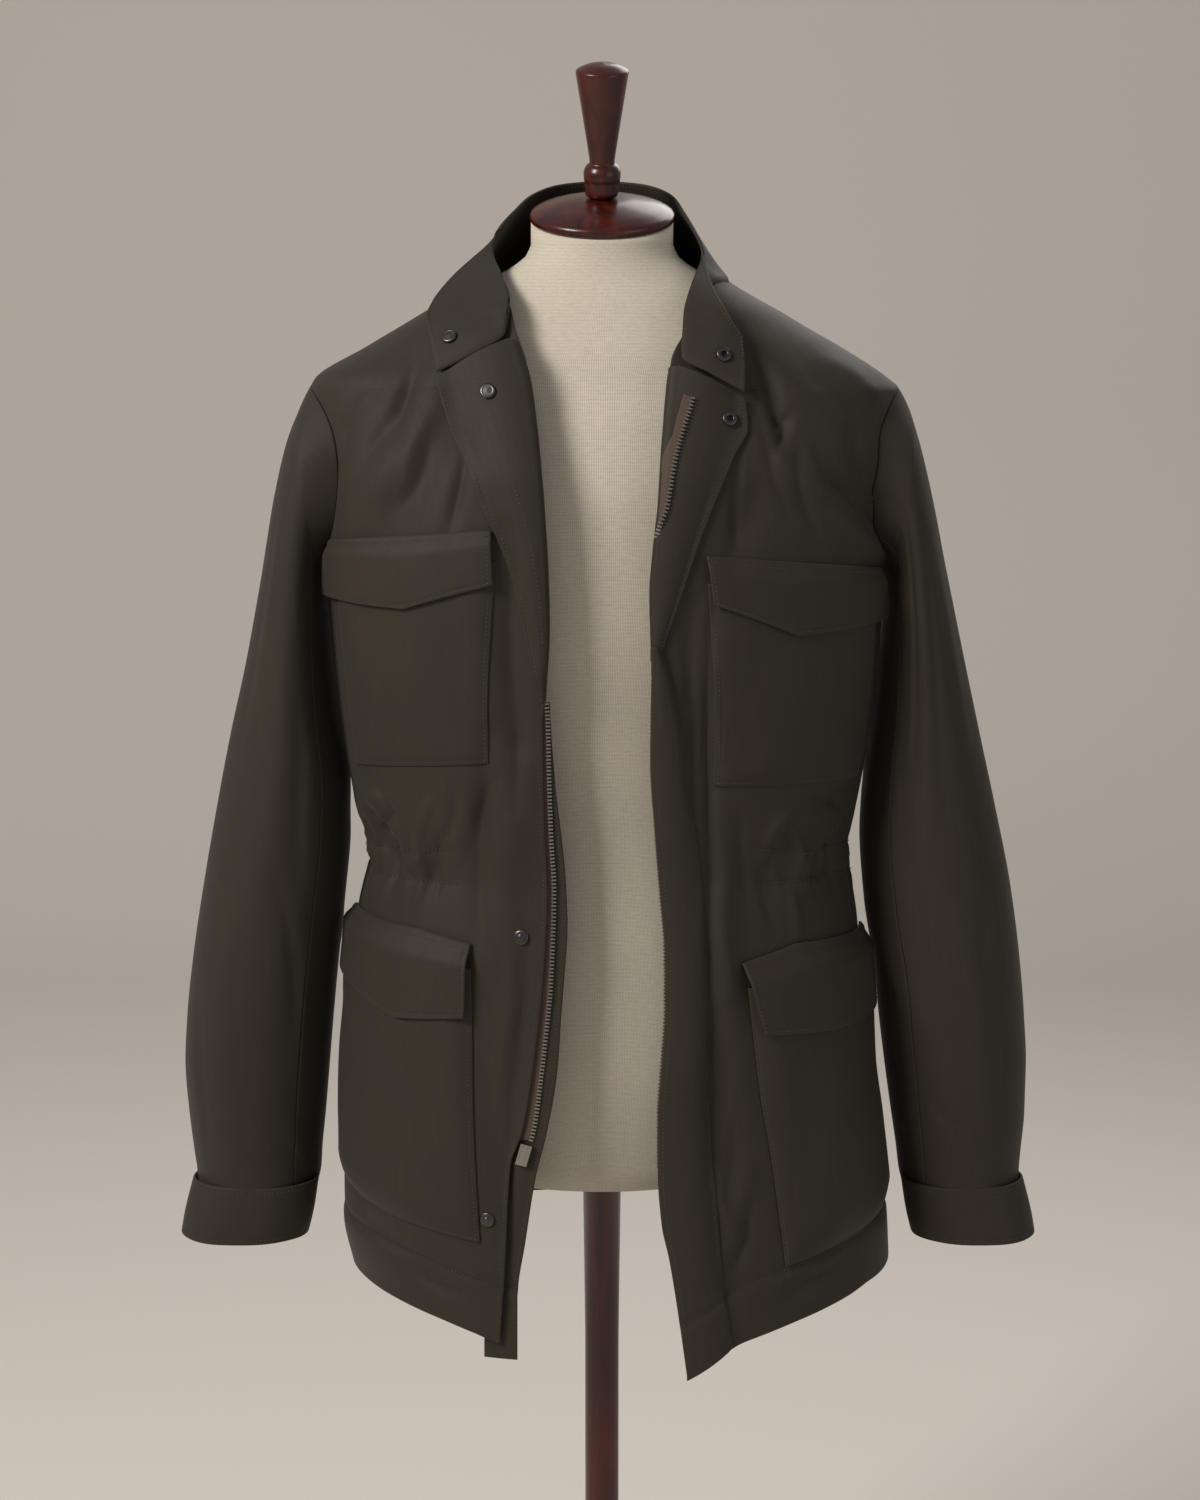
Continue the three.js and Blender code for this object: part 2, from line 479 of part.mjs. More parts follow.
function makeFront(name, side, edge, hem, under) {
  const rows = [...PANEL_ROWS, ...armholeRows, ...SHOULDER_ROWS];
  const pointAt = (level, u, out) => {
    const underZip = side > 0 && level < 1160 ? under : 0;
    const from = (z) => angleOfX(side, along(edge, 'x', z) + underZip, z);
    const to = (z) => angleOfDepth(armholeDepth(z, ARMHOLE_FRONT), z, 'front');
    const level0 = mix(from(level), to(level), u);
    const z = rowHeight(level, along(hem, 'z', level0, 'angle'));
    return clothPoint(side * mix(from(z), to(z), u), z, out);
  };
  addPiece(name, wallOn(rows, lengthwise(FRONT_COLUMNS), pointAt, WALL, -WALL), CLOTH);
}

function makeBack() {
  const rows = [...PANEL_ROWS, ...armholeRows, ...SHOULDER_ROWS, ...BACK_NECK_ROWS];
  const neckHalf = [{ z: 1452, x: 91 }, { z: 1459, x: 76 }, { z: 1464, x: 52 }];
  const pointAt = (z, u, out) => {
    const edge = (side) => {
      if (z >= NECK_POINT) return angleOfX(side, along(neckHalf, 'x', z), z);
      return angleOfDepth(armholeDepth(z, ARMHOLE_BACK), z, 'back');
    };
    return clothPoint(mix(180 - edge(1), 180 + edge(-1), u), z, out);
  };
  addPiece('back', wallOn(rows, lengthwise(BACK_COLUMNS), pointAt, WALL, -WALL), CLOTH);
}

// Point on the front by its distance from the middle
function frontPoint(side, x, z, out) {
  return clothPoint(side * angleOfX(side, x, z), z, out);
}

// Turned-back lapel: down is 0 at the collar seam, across is 0 at the roll line
function lapelPoint(side, table, down, across, out) {
  const rows = table.map((row, i) => ({ ...row, i }));
  const at = down * (table.length - 1);
  const x = mix(along(rows, 'rollX', at, 'i'), along(rows, 'edgeX', at, 'i'), across);
  const z = mix(along(rows, 'rollZ', at, 'i'), along(rows, 'edgeZ', at, 'i'), across);
  const hump = Math.sin(Math.PI * Math.min(1, across * 1.15 + 0.05)) ** 0.8;
  const seat = side < 0 ? LAPEL_SEAT_RIGHT : LAPEL_SEAT_LEFT;
  return frontPoint(side, x, z, seat + LAPEL_LOFT * hump * (1 - 0.75 * down) + out);
}

function makeLapel(name, side, table) {
  const pointAt = (down, across, out) => lapelPoint(side, table, down, across, out);
  const across = [0, 0.08, 0.25, 0.5, 0.75, 1];
  addPiece(name, wallOn(lengthwise(14), across, pointAt, FOLDED_WALL), CLOTH);
}

// Collar: round is -1 at the right front end, 0 at the middle of the back, 1 at the left end.
// Out is measured towards the neck, which is the face that shows on the turned-out ends
function collarPoint(round, rise, out) {
  const table = round < 0 ? RIGHT_COLLAR : LEFT_COLLAR;
  const side = round < 0 ? -1 : 1;
  const place = (around, up) => {
    const rows = table.map((row, i) => {
      const [low, mid, high] = [row.seam, row.crest, row.top];
      const curve = (k) => (1 - up) ** 2 * low[k] + 2 * up * (1 - up) * mid[k] + up * up * high[k];
      return { i, x: curve(0), y: curve(1), z: curve(2) };
    });
    const at = Math.abs(around) * (table.length - 1);
    const [x, y, z] = ['x', 'y', 'z'].map((axis) => along(rows, axis, at, 'i'));
    return new THREE.Vector3(side * x, y, z);
  };
  const step = 0.02;
  const [low, high] = [Math.max(0, rise - step), Math.min(1, rise + step)];
  const near = Math.max(0, Math.abs(round) - step);
  const far = Math.min(1, Math.abs(round) + step);
  const sideways = place(far, rise).sub(place(near, rise));
  const up = place(round, high).sub(place(round, low));
  const towardsNeck = side > 0 ? sideways.cross(up) : up.cross(sideways);
  return place(round, rise).addScaledVector(towardsNeck.normalize(), out);
}

function makeCollar() {
  const rounds = lengthwise(COLLAR_SECTIONS).map((t) => 2 * t - 1);
  const pointAt = (rise, round, out) => collarPoint(round, rise, out);
  addPiece('collar', wallOn(lengthwise(5), rounds, pointAt, FOLDED_WALL, -FOLDED_WALL), CLOTH);
}

// Point beside the panels' own edge round the armhole: turn is 0 at its top and 90 at the front
function armholePoint(side, turn) {
  const round = Math.abs(turn > 180 ? turn - 360 : turn);
  const toFront = Math.sin(radians(turn)) > 0;
  const cornerAt = (step) => {
    const z = mix(UNDERARM, SHOULDER_TIP, 0.5 - 0.5 * Math.cos((Math.PI * step) / ARMHOLE_STEPS));
    const depth = armholeDepth(z, toFront ? ARMHOLE_FRONT : ARMHOLE_BACK);
    const angle = angleOfDepth(depth, z, toFront ? 'front' : 'back');
    return clothPoint(side * (toFront ? angle : 180 - angle), z);
  };
  const step = (1 - round / 180) * ARMHOLE_STEPS;
  const below = Math.min(Math.floor(step), ARMHOLE_STEPS - 1);
  const point = cornerAt(below).lerp(cornerAt(below + 1), step - below);
  return point.add(new THREE.Vector3(side * 5 * SEAM, 0, 0));
}

// Ring of the sleeve: turn is 0 on the outer line and 90 at the front
function sleevePoint(side, table, down, turn, inset) {
  const cosine = Math.cos(radians(turn));
  const sine = Math.sin(radians(turn));
  const power = 2 / SLEEVE_SQUARE;
  const bent = (value) => Math.sign(value) * Math.abs(value) ** power;
  const rows = table.map((row, i) => ({ ...row, i }));
  const rowAt = (column) => along(rows, column, down - 1, 'i');
  const tablePoint = () => {
    const lower = 0.5 - 0.5 * bent(cosine);
    const depth = sine > 0 ? -rowAt('front') : rowAt('back');
    const middleX = mix(rowAt('outX'), rowAt('inX'), lower);
    const middleZ = mix(rowAt('outZ'), rowAt('inZ'), lower);
    return new THREE.Vector3(side * middleX, -bent(sine) * depth, middleZ);
  };
  const point = down === 0 ? armholePoint(side, turn) : tablePoint();
  const middle = down === 0
    ? new THREE.Vector3(point.x, 0, 0.5 * (UNDERARM + SHOULDER_TIP))
    : new THREE.Vector3(0.5 * side * (rowAt('outX') + rowAt('inX')), 0, 0.5 * (rowAt('outZ') + rowAt('inZ')));
  return point.add(middle.sub(point).normalize().multiplyScalar(inset));
}

const SLEEVE_STATIONS = [0, 1, 2, 3, 4, 5, 6, 7, 8, 9, 10, 11, 12, 13, 14];

function makeSleeve(word, side, table) {
  const halves = [
    { name: `top_sleeve_${word}`, from: TOP_SLEEVE[0], to: TOP_SLEEVE[1], steps: 13 },
    { name: `under_sleeve_${word}`, from: TOP_SLEEVE[1], to: 360 + TOP_SLEEVE[0], steps: SLEEVE_SIDES - 13 },
  ];
  const gap = 0.25;
  for (const half of halves) {
    const turns = lengthwise(half.steps).map((t) => mix(half.from + gap, half.to - gap, t));
    const pointAt = (down, turn, inset) => sleevePoint(side, table, down, turn, inset);
    addPiece(half.name, wallOn(SLEEVE_STATIONS, turns, pointAt, WALL), CLOTH);
  }
}

function makeCuff(name, side, table) {
  const end = table[table.length - 1];
  const middleX = 0.5 * (end.outX + end.inX);
  const middleY = 0.5 * (end.front + end.back);
  const heights = [CUFF_TOP, mix(CUFF_TOP, CUFF_BOTTOM, 0.3), mix(CUFF_TOP, CUFF_BOTTOM, 0.7), CUFF_BOTTOM];
  const turns = lengthwise(SLEEVE_SIDES).slice(0, -1).map((t) => 360 * t);
  const flare = [{ z: CUFF_BOTTOM, more: 1.5 }, { z: 700, more: 2 }, { z: CUFF_TOP, more: 0.5 }];
  const pointAt = (z, turn, inset) => {
    const kick = (CUFF_KICK * (CUFF_TOP - z)) / (CUFF_TOP - CUFF_BOTTOM);
    const reach = along(flare, 'more', z) - inset;
    const power = 2 / SLEEVE_SQUARE;
    const bent = (value) => Math.sign(value) * Math.abs(value) ** power;
    const across = 0.5 * (end.outX - end.inX) + reach;
    const deep = 0.5 * (end.back - end.front) + reach;
    const x = middleX + kick + across * bent(Math.cos(radians(turn)));
    return new THREE.Vector3(side * x, middleY - deep * bent(Math.sin(radians(turn))), z);
  };
  const layer = (inset) => heights.map((z) => turns.map((turn) => pointAt(z, turn, inset)));
  addPiece(name, wallGeometry(layer(0), layer(FOLDED_WALL), true), CLOTH);
}

// Patch pocket: it lies on the front at its edges and stands off it between them
function pocketPoint(pocket, down, across, out) {
  const angle = mix(
    mix(pocket.topIn[0], pocket.topOut[0], across), mix(pocket.lowIn[0], pocket.lowOut[0], across), down,
  );
  const z = mix(
    mix(pocket.topIn[1], pocket.topOut[1], across), mix(pocket.lowIn[1], pocket.lowOut[1], across), down,
  );
  const rim = Math.min(across, 1 - across, 1 - down) * 9;
  const puff = pocket.puff * Math.min(1, Math.max(0, rim)) ** 0.6;
  return clothPoint(pocket.side * angle, z, LIFT + puff + out);
}

function makePocket(name, pocket) {
  const ease = (count) => lengthwise(count).map((t) => 0.5 - 0.5 * Math.cos(Math.PI * t));
  const pointAt = (down, across, out) => pocketPoint(pocket, down, across, out);
  addPiece(name, wallOn(ease(pocket.rows), ease(pocket.columns), pointAt, WALL), CLOTH);
}

// Flap with a point in its lower edge: it is sewn down along its top and lies over its pocket
function flapPoint(flap, down, across, out) {
  const half = across < 0.5 ? 0 : 1;
  const t = across * 2 - half;
  const [top, low] = [0, 1].map((end) => {
    const row = end === 0 ? flap.top : flap.low;
    return [mix(row[half][0], row[half + 1][0], t), mix(row[half][1], row[half + 1][1], t)];
  });
  const stand = LIFT + (flap.over + WALL + LIFT) * THREE.MathUtils.smoothstep(down, 0, 0.3);
  return clothPoint(flap.side * mix(top[0], low[0], down), mix(top[1], low[1], down), stand + out);
}

function makeFlap(name, flap) {
  const pointAt = (down, across, out) => flapPoint(flap, down, across, out);
  addPiece(name, wallOn(FLAP_RISE, lengthwise(2 * FLAP_COLUMNS), pointAt, FOLDED_WALL), CLOTH);
}

// Strip that runs down a front between two lines, each a distance from the middle by height
function makeStrip(name, side, heights, fromX, toX, columns, depth, thickness, material, rise = 0) {
  const pointAt = (level, u, out) => {
    const z = level + rise * u * Math.max(0, (HEM_ZONE - level) / (HEM_ZONE - heights[0]));
    return frontPoint(side, mix(fromX(z), toX(z), u), z, out + depth(u));
  };
  addPiece(name, wallOn(heights, lengthwise(columns), pointAt, thickness), material);
}

function makeFrontStrips() {
  const levels = (from, to, count) => lengthwise(count).map((t) => mix(from, to, t));
  const leftEdge = (z) => along(LEFT_EDGE, 'x', z);
  const rightEdge = (z) => along(RIGHT_EDGE, 'x', z);
  makeStrip('placket', 1, levels(613, 1162, 20), leftEdge, (z) => along(PLACKET_STITCH, 'x', z), 3,
    (u) => 1.3 * LIFT + 3 * Math.sin(Math.PI * u) + 1.5 * (1 - u), FOLDED_WALL, CLOTH, PLACKET_RISE);
  makeStrip('zip_underlap', -1, levels(626, 1118, 18), (z) => along(UNDERLAP_EDGE, 'x', z),
    (z) => rightEdge(z) + 14, 2, () => -WALL - 5.2, WALL, CLOTH);
  const teeth = (z) => along(ZIP_LINE, 'x', z);
  makeStrip('zip_tape_right', -1, levels(803.5, 1126, 12), teeth, (z) => teeth(z) + TAPE_WIDTH, 3,
    () => -WALL - 2.7, 1.2, TAPE);
  makeStrip('zip_tape_left', 1, levels(775, 1158, 13), (z) => leftEdge(z) + 2, (z) => leftEdge(z) + 13, 1,
    () => -WALL - 4, 1.4, TAPE);
}

// Upper end of the left zip half, on the turned-back lapel
function makeLapelTape() {
  const pointAt = (down, u, out) => {
    const teeth = 0.29 * (1 - down / 0.62) + 0.06;
    const inner = Math.max(0.015, teeth - 0.12);
    return lapelPoint(1, LEFT_LAPEL, down, mix(inner, teeth, u), FOLDED_WALL + LIFT + out);
  };
  const rows = lengthwise(9).map((t) => mix(0.115, 0.62, t));
  addPiece('zip_tape_lapel', wallOn(rows, [0, 1], pointAt, 1.2), TAPE);
}

// Metal box at the foot of the zip
function makeZipBox() {
  const [wide, deep, tall] = [9, 4.2, 17];
  const box = new THREE.BoxGeometry(wide, deep, tall);
  box.rotateY(radians(16));
  const foot = frontPoint(-1, 60.5, 793, -WALL - 1.6);
  box.translate(foot.x, foot.y - deep / 2, foot.z);
  addPiece('zip_box', box, NICKEL);
}

// Round fastener set on a face: its profile is turned about the face's outward direction
function makeFastener(name, profile, point, outward) {
  const turned = new THREE.LatheGeometry(profile.map(([r, h]) => new THREE.Vector2(r, h)), 12);
  const upright = new THREE.Quaternion().setFromUnitVectors(new THREE.Vector3(0, 1, 0), outward);
  turned.applyQuaternion(upright);
  turned.translate(point.x, point.y, point.z);
  addPiece(name, turned, NICKEL);
}

const CAP_PROFILE = [
  [0, 0], [CAP_RADIUS - 0.6, 0], [CAP_RADIUS, 0.6], [CAP_RADIUS - 0.4, CAP_HEIGHT - 0.3],
  [CAP_RADIUS - 1.2, CAP_HEIGHT], [0, CAP_HEIGHT],
];
const RING_PROFILE = [
  [RING_BORE, 0], [RING_RADIUS, 0], [RING_RADIUS, 1], [RING_RADIUS - 0.8, 1.9], [RING_BORE + 0.8, 1.9],
  [RING_BORE, 1.2], [RING_BORE, 0],
];
const STUD_PROFILE = [
  [0, 0], [RING_RADIUS, 0], [RING_RADIUS, 0.7], [RING_RADIUS - 1.2, 1.1], [2.3, 1.1],
  [2.1, STUD_HEIGHT - 0.4], [1.5, STUD_HEIGHT], [0, STUD_HEIGHT],
];

// Place and outward direction of a surface given as a function of two values and a height
function seat(pointAt, gap) {
  const point = pointAt(gap);
  return [point, pointAt(gap + 4).sub(point).normalize()];
}

function makeFasteners() {
  const onLapel = (side, table, down, across) => seat(
    (out) => lapelPoint(side, table, down, across, FOLDED_WALL + out), 0.8,
  );
  const onCollar = (round, rise) => seat((out) => collarPoint(round, rise, out), 0.8);
  const onFront = (side, x, z) => seat((out) => frontPoint(side, x, z, out), 0.7);
  makeFastener('snap_cap_collar', CAP_PROFILE, ...onCollar(-0.935, 0.42));
  makeFastener('snap_cap_lapel', CAP_PROFILE, ...onLapel(-1, RIGHT_LAPEL, 0.125, 0.47));
  makeFastener('snap_socket_collar', RING_PROFILE, ...onCollar(0.915, 0.42));
  makeFastener('snap_socket_lapel', RING_PROFILE, ...onLapel(1, LEFT_LAPEL, 0.125, 0.76));
  makeFastener('snap_stud_waist', STUD_PROFILE, ...onFront(-1, 61, 962));
  makeFastener('snap_stud_hem', STUD_PROFILE, ...onFront(-1, 88.3, 739.5));
}

// Dress form: one smooth closed body of oval rings, up to the top of its neck
function makeTorso() {
  const turns = lengthwise(FORM_SIDES).slice(0, -1).map((t) => 360 * t);
  const power = 2 / FORM_SQUARE;
  const bent = (value) => Math.sign(value) * Math.abs(value) ** power;
  const ring = (row) => turns.map((turn) => {
    const sine = Math.sin(radians(turn));
    const cosine = Math.cos(radians(turn));
    const depth = cosine > 0 ? row.front : row.back;
    return new THREE.Vector3(row.half * bent(sine), -depth * bent(cosine), row.z);
  });
  const heights = [742, 750, 775, 850, 930, 1020, 1100, 1180, 1260, 1320, 1355, 1374, 1388, 1400, 1414, 1427,
    1439, 1450, 1460, 1469, 1477];
  const rings = heights.map((z) => ring({
    z, half: along(FORM, 'half', z), front: along(FORM, 'front', z), back: along(FORM, 'back', z),
  }));
  const lean = Math.tan(radians(CAP_TILT));
  const top = turns.map((turn) => {
    const x = NECK_RADIUS * Math.sin(radians(turn));
    const y = -NECK_RADIUS * Math.cos(radians(turn));
    return new THREE.Vector3(x, y, NECK_TOP + 2 + (y + NECK_RADIUS) * lean);
  });
  rings.push(top);
  const points = rings.flat();
  const faces = [];
  const count = turns.length;
  for (let i = 0; i < rings.length - 1; i += 1) {
    for (let j = 0; j < count; j += 1) {
      const next = (j + 1) % count;
      const [a, b] = [i * count + j, i * count + next];
      faces.push(a, b, b + count, a, b + count, a + count);
    }
  }
  const middleLow = points.push(new THREE.Vector3(0, 0, 742)) - 1;
  const middleTop = points.push(new THREE.Vector3(0, 0, NECK_TOP + 2 + NECK_RADIUS * lean)) - 1;
  const lastRing = (rings.length - 1) * count;
  for (let j = 0; j < count; j += 1) {
    const next = (j + 1) % count;
    faces.push(middleLow, next, j);
    faces.push(middleTop, lastRing + j, lastRing + next);
  }
  addPiece('form_torso', closedGeometry(points, faces), LINEN);
}

function turnedPiece(profile) {
  const turned = new THREE.LatheGeometry(profile.map(([r, h]) => new THREE.Vector2(r, h)), TURNED_SIDES);
  turned.rotateX(Math.PI / 2);
  return turned;
}

// Neck plate with its rim, and the turned handle that stands on it, both leaning forward
function makeNeckPlate() {
  const lean = Math.tan(radians(CAP_TILT));
  const seatZ = NECK_TOP + 2 + NECK_RADIUS * lean + 0.3;
  const plate = turnedPiece([
    [0, 0], [54.5, 0], [56, 2], [56, 5.5], [54, 8], [46, 11.5], [35, 14.5], [20, 17.5], [0, 18.5],
  ]);
  plate.rotateX(radians(CAP_TILT));
  plate.translate(0, 0, seatZ);
  addPiece('form_neck_plate', plate, MAHOGANY);
  const handle = turnedPiece([
    [0, 18.8], [13.2, 18.8], [13.4, 30], [14.4, 34.5], [14.3, 39], [12.4, 43], [9.8, 44.8], [9.6, 47],
    [14, 75], [19.8, 111], [20.2, 113.5], [19.6, 115.6], [11, 119.6], [0, 121],
  ]);
  handle.rotateX(radians(CAP_TILT));
  handle.translate(0, 0, seatZ);
  addPiece('form_handle', handle, MAHOGANY);
}

function makeStand() {
  addPiece('stand_pole', turnedPiece([
    [0, BASE_HEIGHT + 6.3], [24, BASE_HEIGHT + 6.3], [24, BASE_HEIGHT + 22], [18, BASE_HEIGHT + 34],
    [POLE_RADIUS, BASE_HEIGHT + 42], [POLE_RADIUS, 720], [22, 728], [30, 734], [30, 741.7], [0, 741.7],
  ]), MAHOGANY);
  addPiece('stand_base', turnedPiece([
    [0, 0], [BASE_RADIUS - 3, 0], [BASE_RADIUS, 3], [BASE_RADIUS, 11], [BASE_RADIUS - 5, 16],
    [150, 20], [70, BASE_HEIGHT], [0, BASE_HEIGHT + 6],
  ]), MAHOGANY);
}

makeBack();
makeFront('front_right', -1, RIGHT_EDGE, RIGHT_HEM, 0);
makeFront('front_left', 1, LEFT_EDGE, LEFT_HEM, PLACKET_UNDER);
makeLapel('lapel_right', -1, RIGHT_LAPEL);
makeLapel('lapel_left', 1, LEFT_LAPEL);
makeCollar();
makeSleeve('right', -1, RIGHT_SLEEVE);
makeSleeve('left', 1, LEFT_SLEEVE);
makeCuff('cuff_right', -1, RIGHT_SLEEVE);
makeCuff('cuff_left', 1, LEFT_SLEEVE);
for (const [name, pocket] of Object.entries(POCKETS)) makePocket(name, pocket);
for (const [name, flap] of Object.entries(FLAPS)) makeFlap(name, flap);
makeFrontStrips();
makeLapelTape();
makeZipBox();
makeFasteners();
makeTorso();
makeNeckPlate();
makeStand();

export default jacket;
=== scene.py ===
# %% [markdown]
# # A field jacket on a dress form
# This lesson dresses a ready-made frame: the solids of a jacket and of the form that it hangs on. Each
# solid says where a piece lies and how big it is. Here every piece of cloth becomes a thin, creased
# shell on its solid, the zip gets its teeth, the seams get their stitches, and wood, linen and metal
# get their finish. The jacket faces -Y and its wearer's right side is on -X, the left of the picture.

# %% Load the frame
import math
from functools import partial

import bmesh
import bpy
import numpy as np
from mathutils import Matrix, Vector


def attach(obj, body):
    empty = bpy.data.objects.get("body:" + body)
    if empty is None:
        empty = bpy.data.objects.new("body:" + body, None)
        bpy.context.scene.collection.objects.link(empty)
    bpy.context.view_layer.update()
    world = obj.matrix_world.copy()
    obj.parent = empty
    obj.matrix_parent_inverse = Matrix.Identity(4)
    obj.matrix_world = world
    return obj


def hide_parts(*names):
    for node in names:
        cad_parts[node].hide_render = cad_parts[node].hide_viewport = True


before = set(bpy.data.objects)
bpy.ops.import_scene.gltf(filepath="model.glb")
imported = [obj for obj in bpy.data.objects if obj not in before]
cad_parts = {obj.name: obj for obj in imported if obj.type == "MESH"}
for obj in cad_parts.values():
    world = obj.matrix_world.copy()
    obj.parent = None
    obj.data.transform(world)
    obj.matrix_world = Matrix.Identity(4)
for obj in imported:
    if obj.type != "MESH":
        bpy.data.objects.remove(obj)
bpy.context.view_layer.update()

MM = 0.001               # tables are in millimetres, as on a tailor's tape, and meshes are in metres
scene = bpy.context.scene

# %% [markdown]
# ## Tables and curves
# A garment is drawn by a few measured sections. We could model it by hand with a subdivision surface,
# but then every pocket and stitch would have to be fitted by eye. Instead each measure is a column of a
# short table, and `along` draws a smooth curve through a column that never overshoots its values.

# %% Tables and the curve through a column
def table(columns, *rows):
    """A table as a dictionary of columns."""
    return {name: np.array([row[i] for row in rows], float) for i, name in enumerate(columns.split())}


def along(columns, name, at, key="z"):
    """Value of one column at any place along the key column, with no overshoot."""
    keys, values = columns[key], columns[name]
    rise = np.diff(values) / np.diff(keys)
    slope = np.zeros(len(keys))
    slope[0], slope[-1] = rise[0], rise[-1]
    before, after = rise[:-1], rise[1:]
    same = before * after > 0
    slope[1:-1][same] = 2 * before[same] * after[same] / (before + after)[same]
    at = np.clip(np.asarray(at, float), keys[0], keys[-1])
    k = np.clip(np.searchsorted(keys, at, side="right") - 1, 0, len(keys) - 2)
    span = keys[k + 1] - keys[k]
    t = (at - keys[k]) / span
    return ((2 * t**3 - 3 * t * t + 1) * values[k] + (t**3 - 2 * t * t + t) * span * slope[k]
            + (3 * t * t - 2 * t**3) * values[k + 1] + (t**3 - t * t) * span * slope[k + 1])


def mix(a, b, t):
    return a + (b - a) * t


def smooth(value, low, high):
    """0 below low, 1 above high, and an easy slope between."""
    t = np.clip((value - low) / (high - low), 0, 1)
    return t * t * (3 - 2 * t)


def bent(value, power):
    return np.sign(value) * np.abs(value) ** power


def place(x, y, z):
    return np.stack(np.broadcast_arrays(x, y, z), axis=-1).astype(float)


def unit(vectors):
    return vectors / np.maximum(np.linalg.norm(vectors, axis=-1, keepdims=True), 1e-9)


def lengthwise(count):
    return np.linspace(0, 1, count + 1)


def sin_of(angle):
    return np.sin(np.radians(angle))


def cos_of(angle):
    return np.cos(np.radians(angle))


WORDS = {-1: "right", 1: "left"}         # the wearer's side, by the sign of X
RIM = (0.12, 0.4, 0.9)   # extra rows this close to an edge, so that the edge can be rounded
RIM_END = 1.6            # the even rows begin this far from an edge


def fine(length, step):
    """Places from 0 to 1 on a stretch of that length, closer together beside its two ends."""
    rim = np.array(RIM) / length
    inside = np.linspace(RIM_END / length, 1 - RIM_END / length, max(3, int(length / step)))
    return np.concatenate([[0], rim, inside, 1 - rim[::-1], [1]])


print("halfway from 0 to 5:", along(table("z v", (0, 0), (1, 5), (2, 5)), "v", 0.5).round(2))

# %% [markdown]
# ## The camera
# The picture looks at the jacket from just above its chest, tilted ten degrees down.

# %% Camera
CAMERA_PLACE = (-0.0016, -2.0681, 1.4447)
CAMERA_TILT = 10.0       # degrees down from level
FOCAL, PICTURE_TALL = 63.0, 36.0         # millimetres


def add_object(name, data):
    """A new object at the origin, linked into the scene."""
    made = bpy.data.objects.new(name, data)
    scene.collection.objects.link(made)
    return made


camera_data = bpy.data.cameras.new("camera")
camera_data.sensor_fit = "VERTICAL"
camera_data.sensor_height = PICTURE_TALL
camera_data.lens = FOCAL
camera = add_object("camera", camera_data)
camera.location = CAMERA_PLACE
camera.rotation_euler = (math.radians(90 - CAMERA_TILT), 0, 0)
scene.camera = camera
scene.view_settings.view_transform = "Standard"
print("camera at", CAMERA_PLACE)

# %% [markdown]
# ## Helpers for nodes
# Finishes and repeated stitches are both trees of nodes. They could be wired by hand in the editor, which
# is good for trying things out. Here `add` puts a node in a tree and fills its inputs, so that a tree
# reads as a short list, and the other helpers make what most finishes need: a blend, a ramp, a relief.

# %% Node helpers
def fill(tree, node, inputs):
    """Links each named input of a node to a socket, or gives it a plain value."""
    for key, value in inputs.items():
        if isinstance(value, bpy.types.NodeSocket):
            tree.links.new(value, node.inputs[key])
        else:
            node.inputs[key].default_value = value


def node_adder(tree):
    """A helper that adds a node to this tree, with its options and its inputs."""
    def add(kind, inputs=None, **options):
        node = tree.nodes.new(kind)
        for key, value in options.items():
            setattr(node, key, value)
        fill(tree, node, inputs or {})
        return node

    return add


def new_material(name):
    material = bpy.data.materials.new(name)
    material.use_nodes = True
    return material, node_adder(material.node_tree)


def paint(material, inputs):
    """Sets or links the inputs of a material's own shader."""
    fill(material.node_tree, material.node_tree.nodes["Principled BSDF"], inputs)


def colour_of(*bytes_rgb):
    """Linear colour of a screen colour from 0 to 255."""
    parts = [v / 255 for v in bytes_rgb]
    return [((v + 0.055) / 1.055) ** 2.4 if v > 0.04045 else v / 12.92 for v in parts] + [1.0]


def blend(add, factor, dark, light):
    return add("ShaderNodeMix", {"Factor": factor, 6: dark, 7: light}, data_type="RGBA").outputs[2]


def ramp(add, factor, stops):
    """Colour that follows a factor between two stops, each a position and a colour."""
    node = add("ShaderNodeValToRGB", {"Fac": factor})
    for i, (position, colour) in enumerate(stops):
        node.color_ramp.elements[i].position = position
        node.color_ramp.elements[i].color = colour
    return node.outputs["Color"]


def relief(add, height, strength, distance):
    bump = add("ShaderNodeBump", {"Height": height, "Strength": strength, "Distance": distance})
    return bump.outputs["Normal"]


def maths(add, operation, *values):
    return add("ShaderNodeMath", dict(enumerate(values)), operation=operation).outputs[0]


print("a mid grey in linear light", [round(v, 3) for v in colour_of(128, 128, 128)])

# %% [markdown]
# ## Floor and light
# A pale sheet runs along the floor and up behind the form in one curve, as a photographer hangs paper.
# The light is soft: a large panel high on the left, a weaker one on the right, and one behind that
# draws the shoulders. Lights with a soft edge show the shallow creases of cloth best.

# %% Stage and lights
SWEEP_RADIUS, SWEEP_START = 1.2, 3.3     # metres: a camera can walk round the form in front of the wall
SWEEP_FRONT, SWEEP_TOP, SWEEP_SIDE = -6.0, 6.0, 8.0
LIGHTS = {               # place, width of the panel, watts and colour
    "key_light": ((-2.3, -1.9, 3.1), 1.1, 120.0, (1.0, 0.98, 0.93)),
    "fill_light": ((2.4, -2.2, 1.5), 2.2, 13.0, (0.98, 0.98, 1.0)),
    "rim_light": ((0.9, 1.7, 2.6), 1.4, 18.0, (1.0, 0.98, 0.95)),
}
CHEST = Vector((0, 0, 1.1))              # the place that every light looks at
SKY, SKY_STRENGTH = (0.95, 0.95, 0.96, 1.0), 0.36

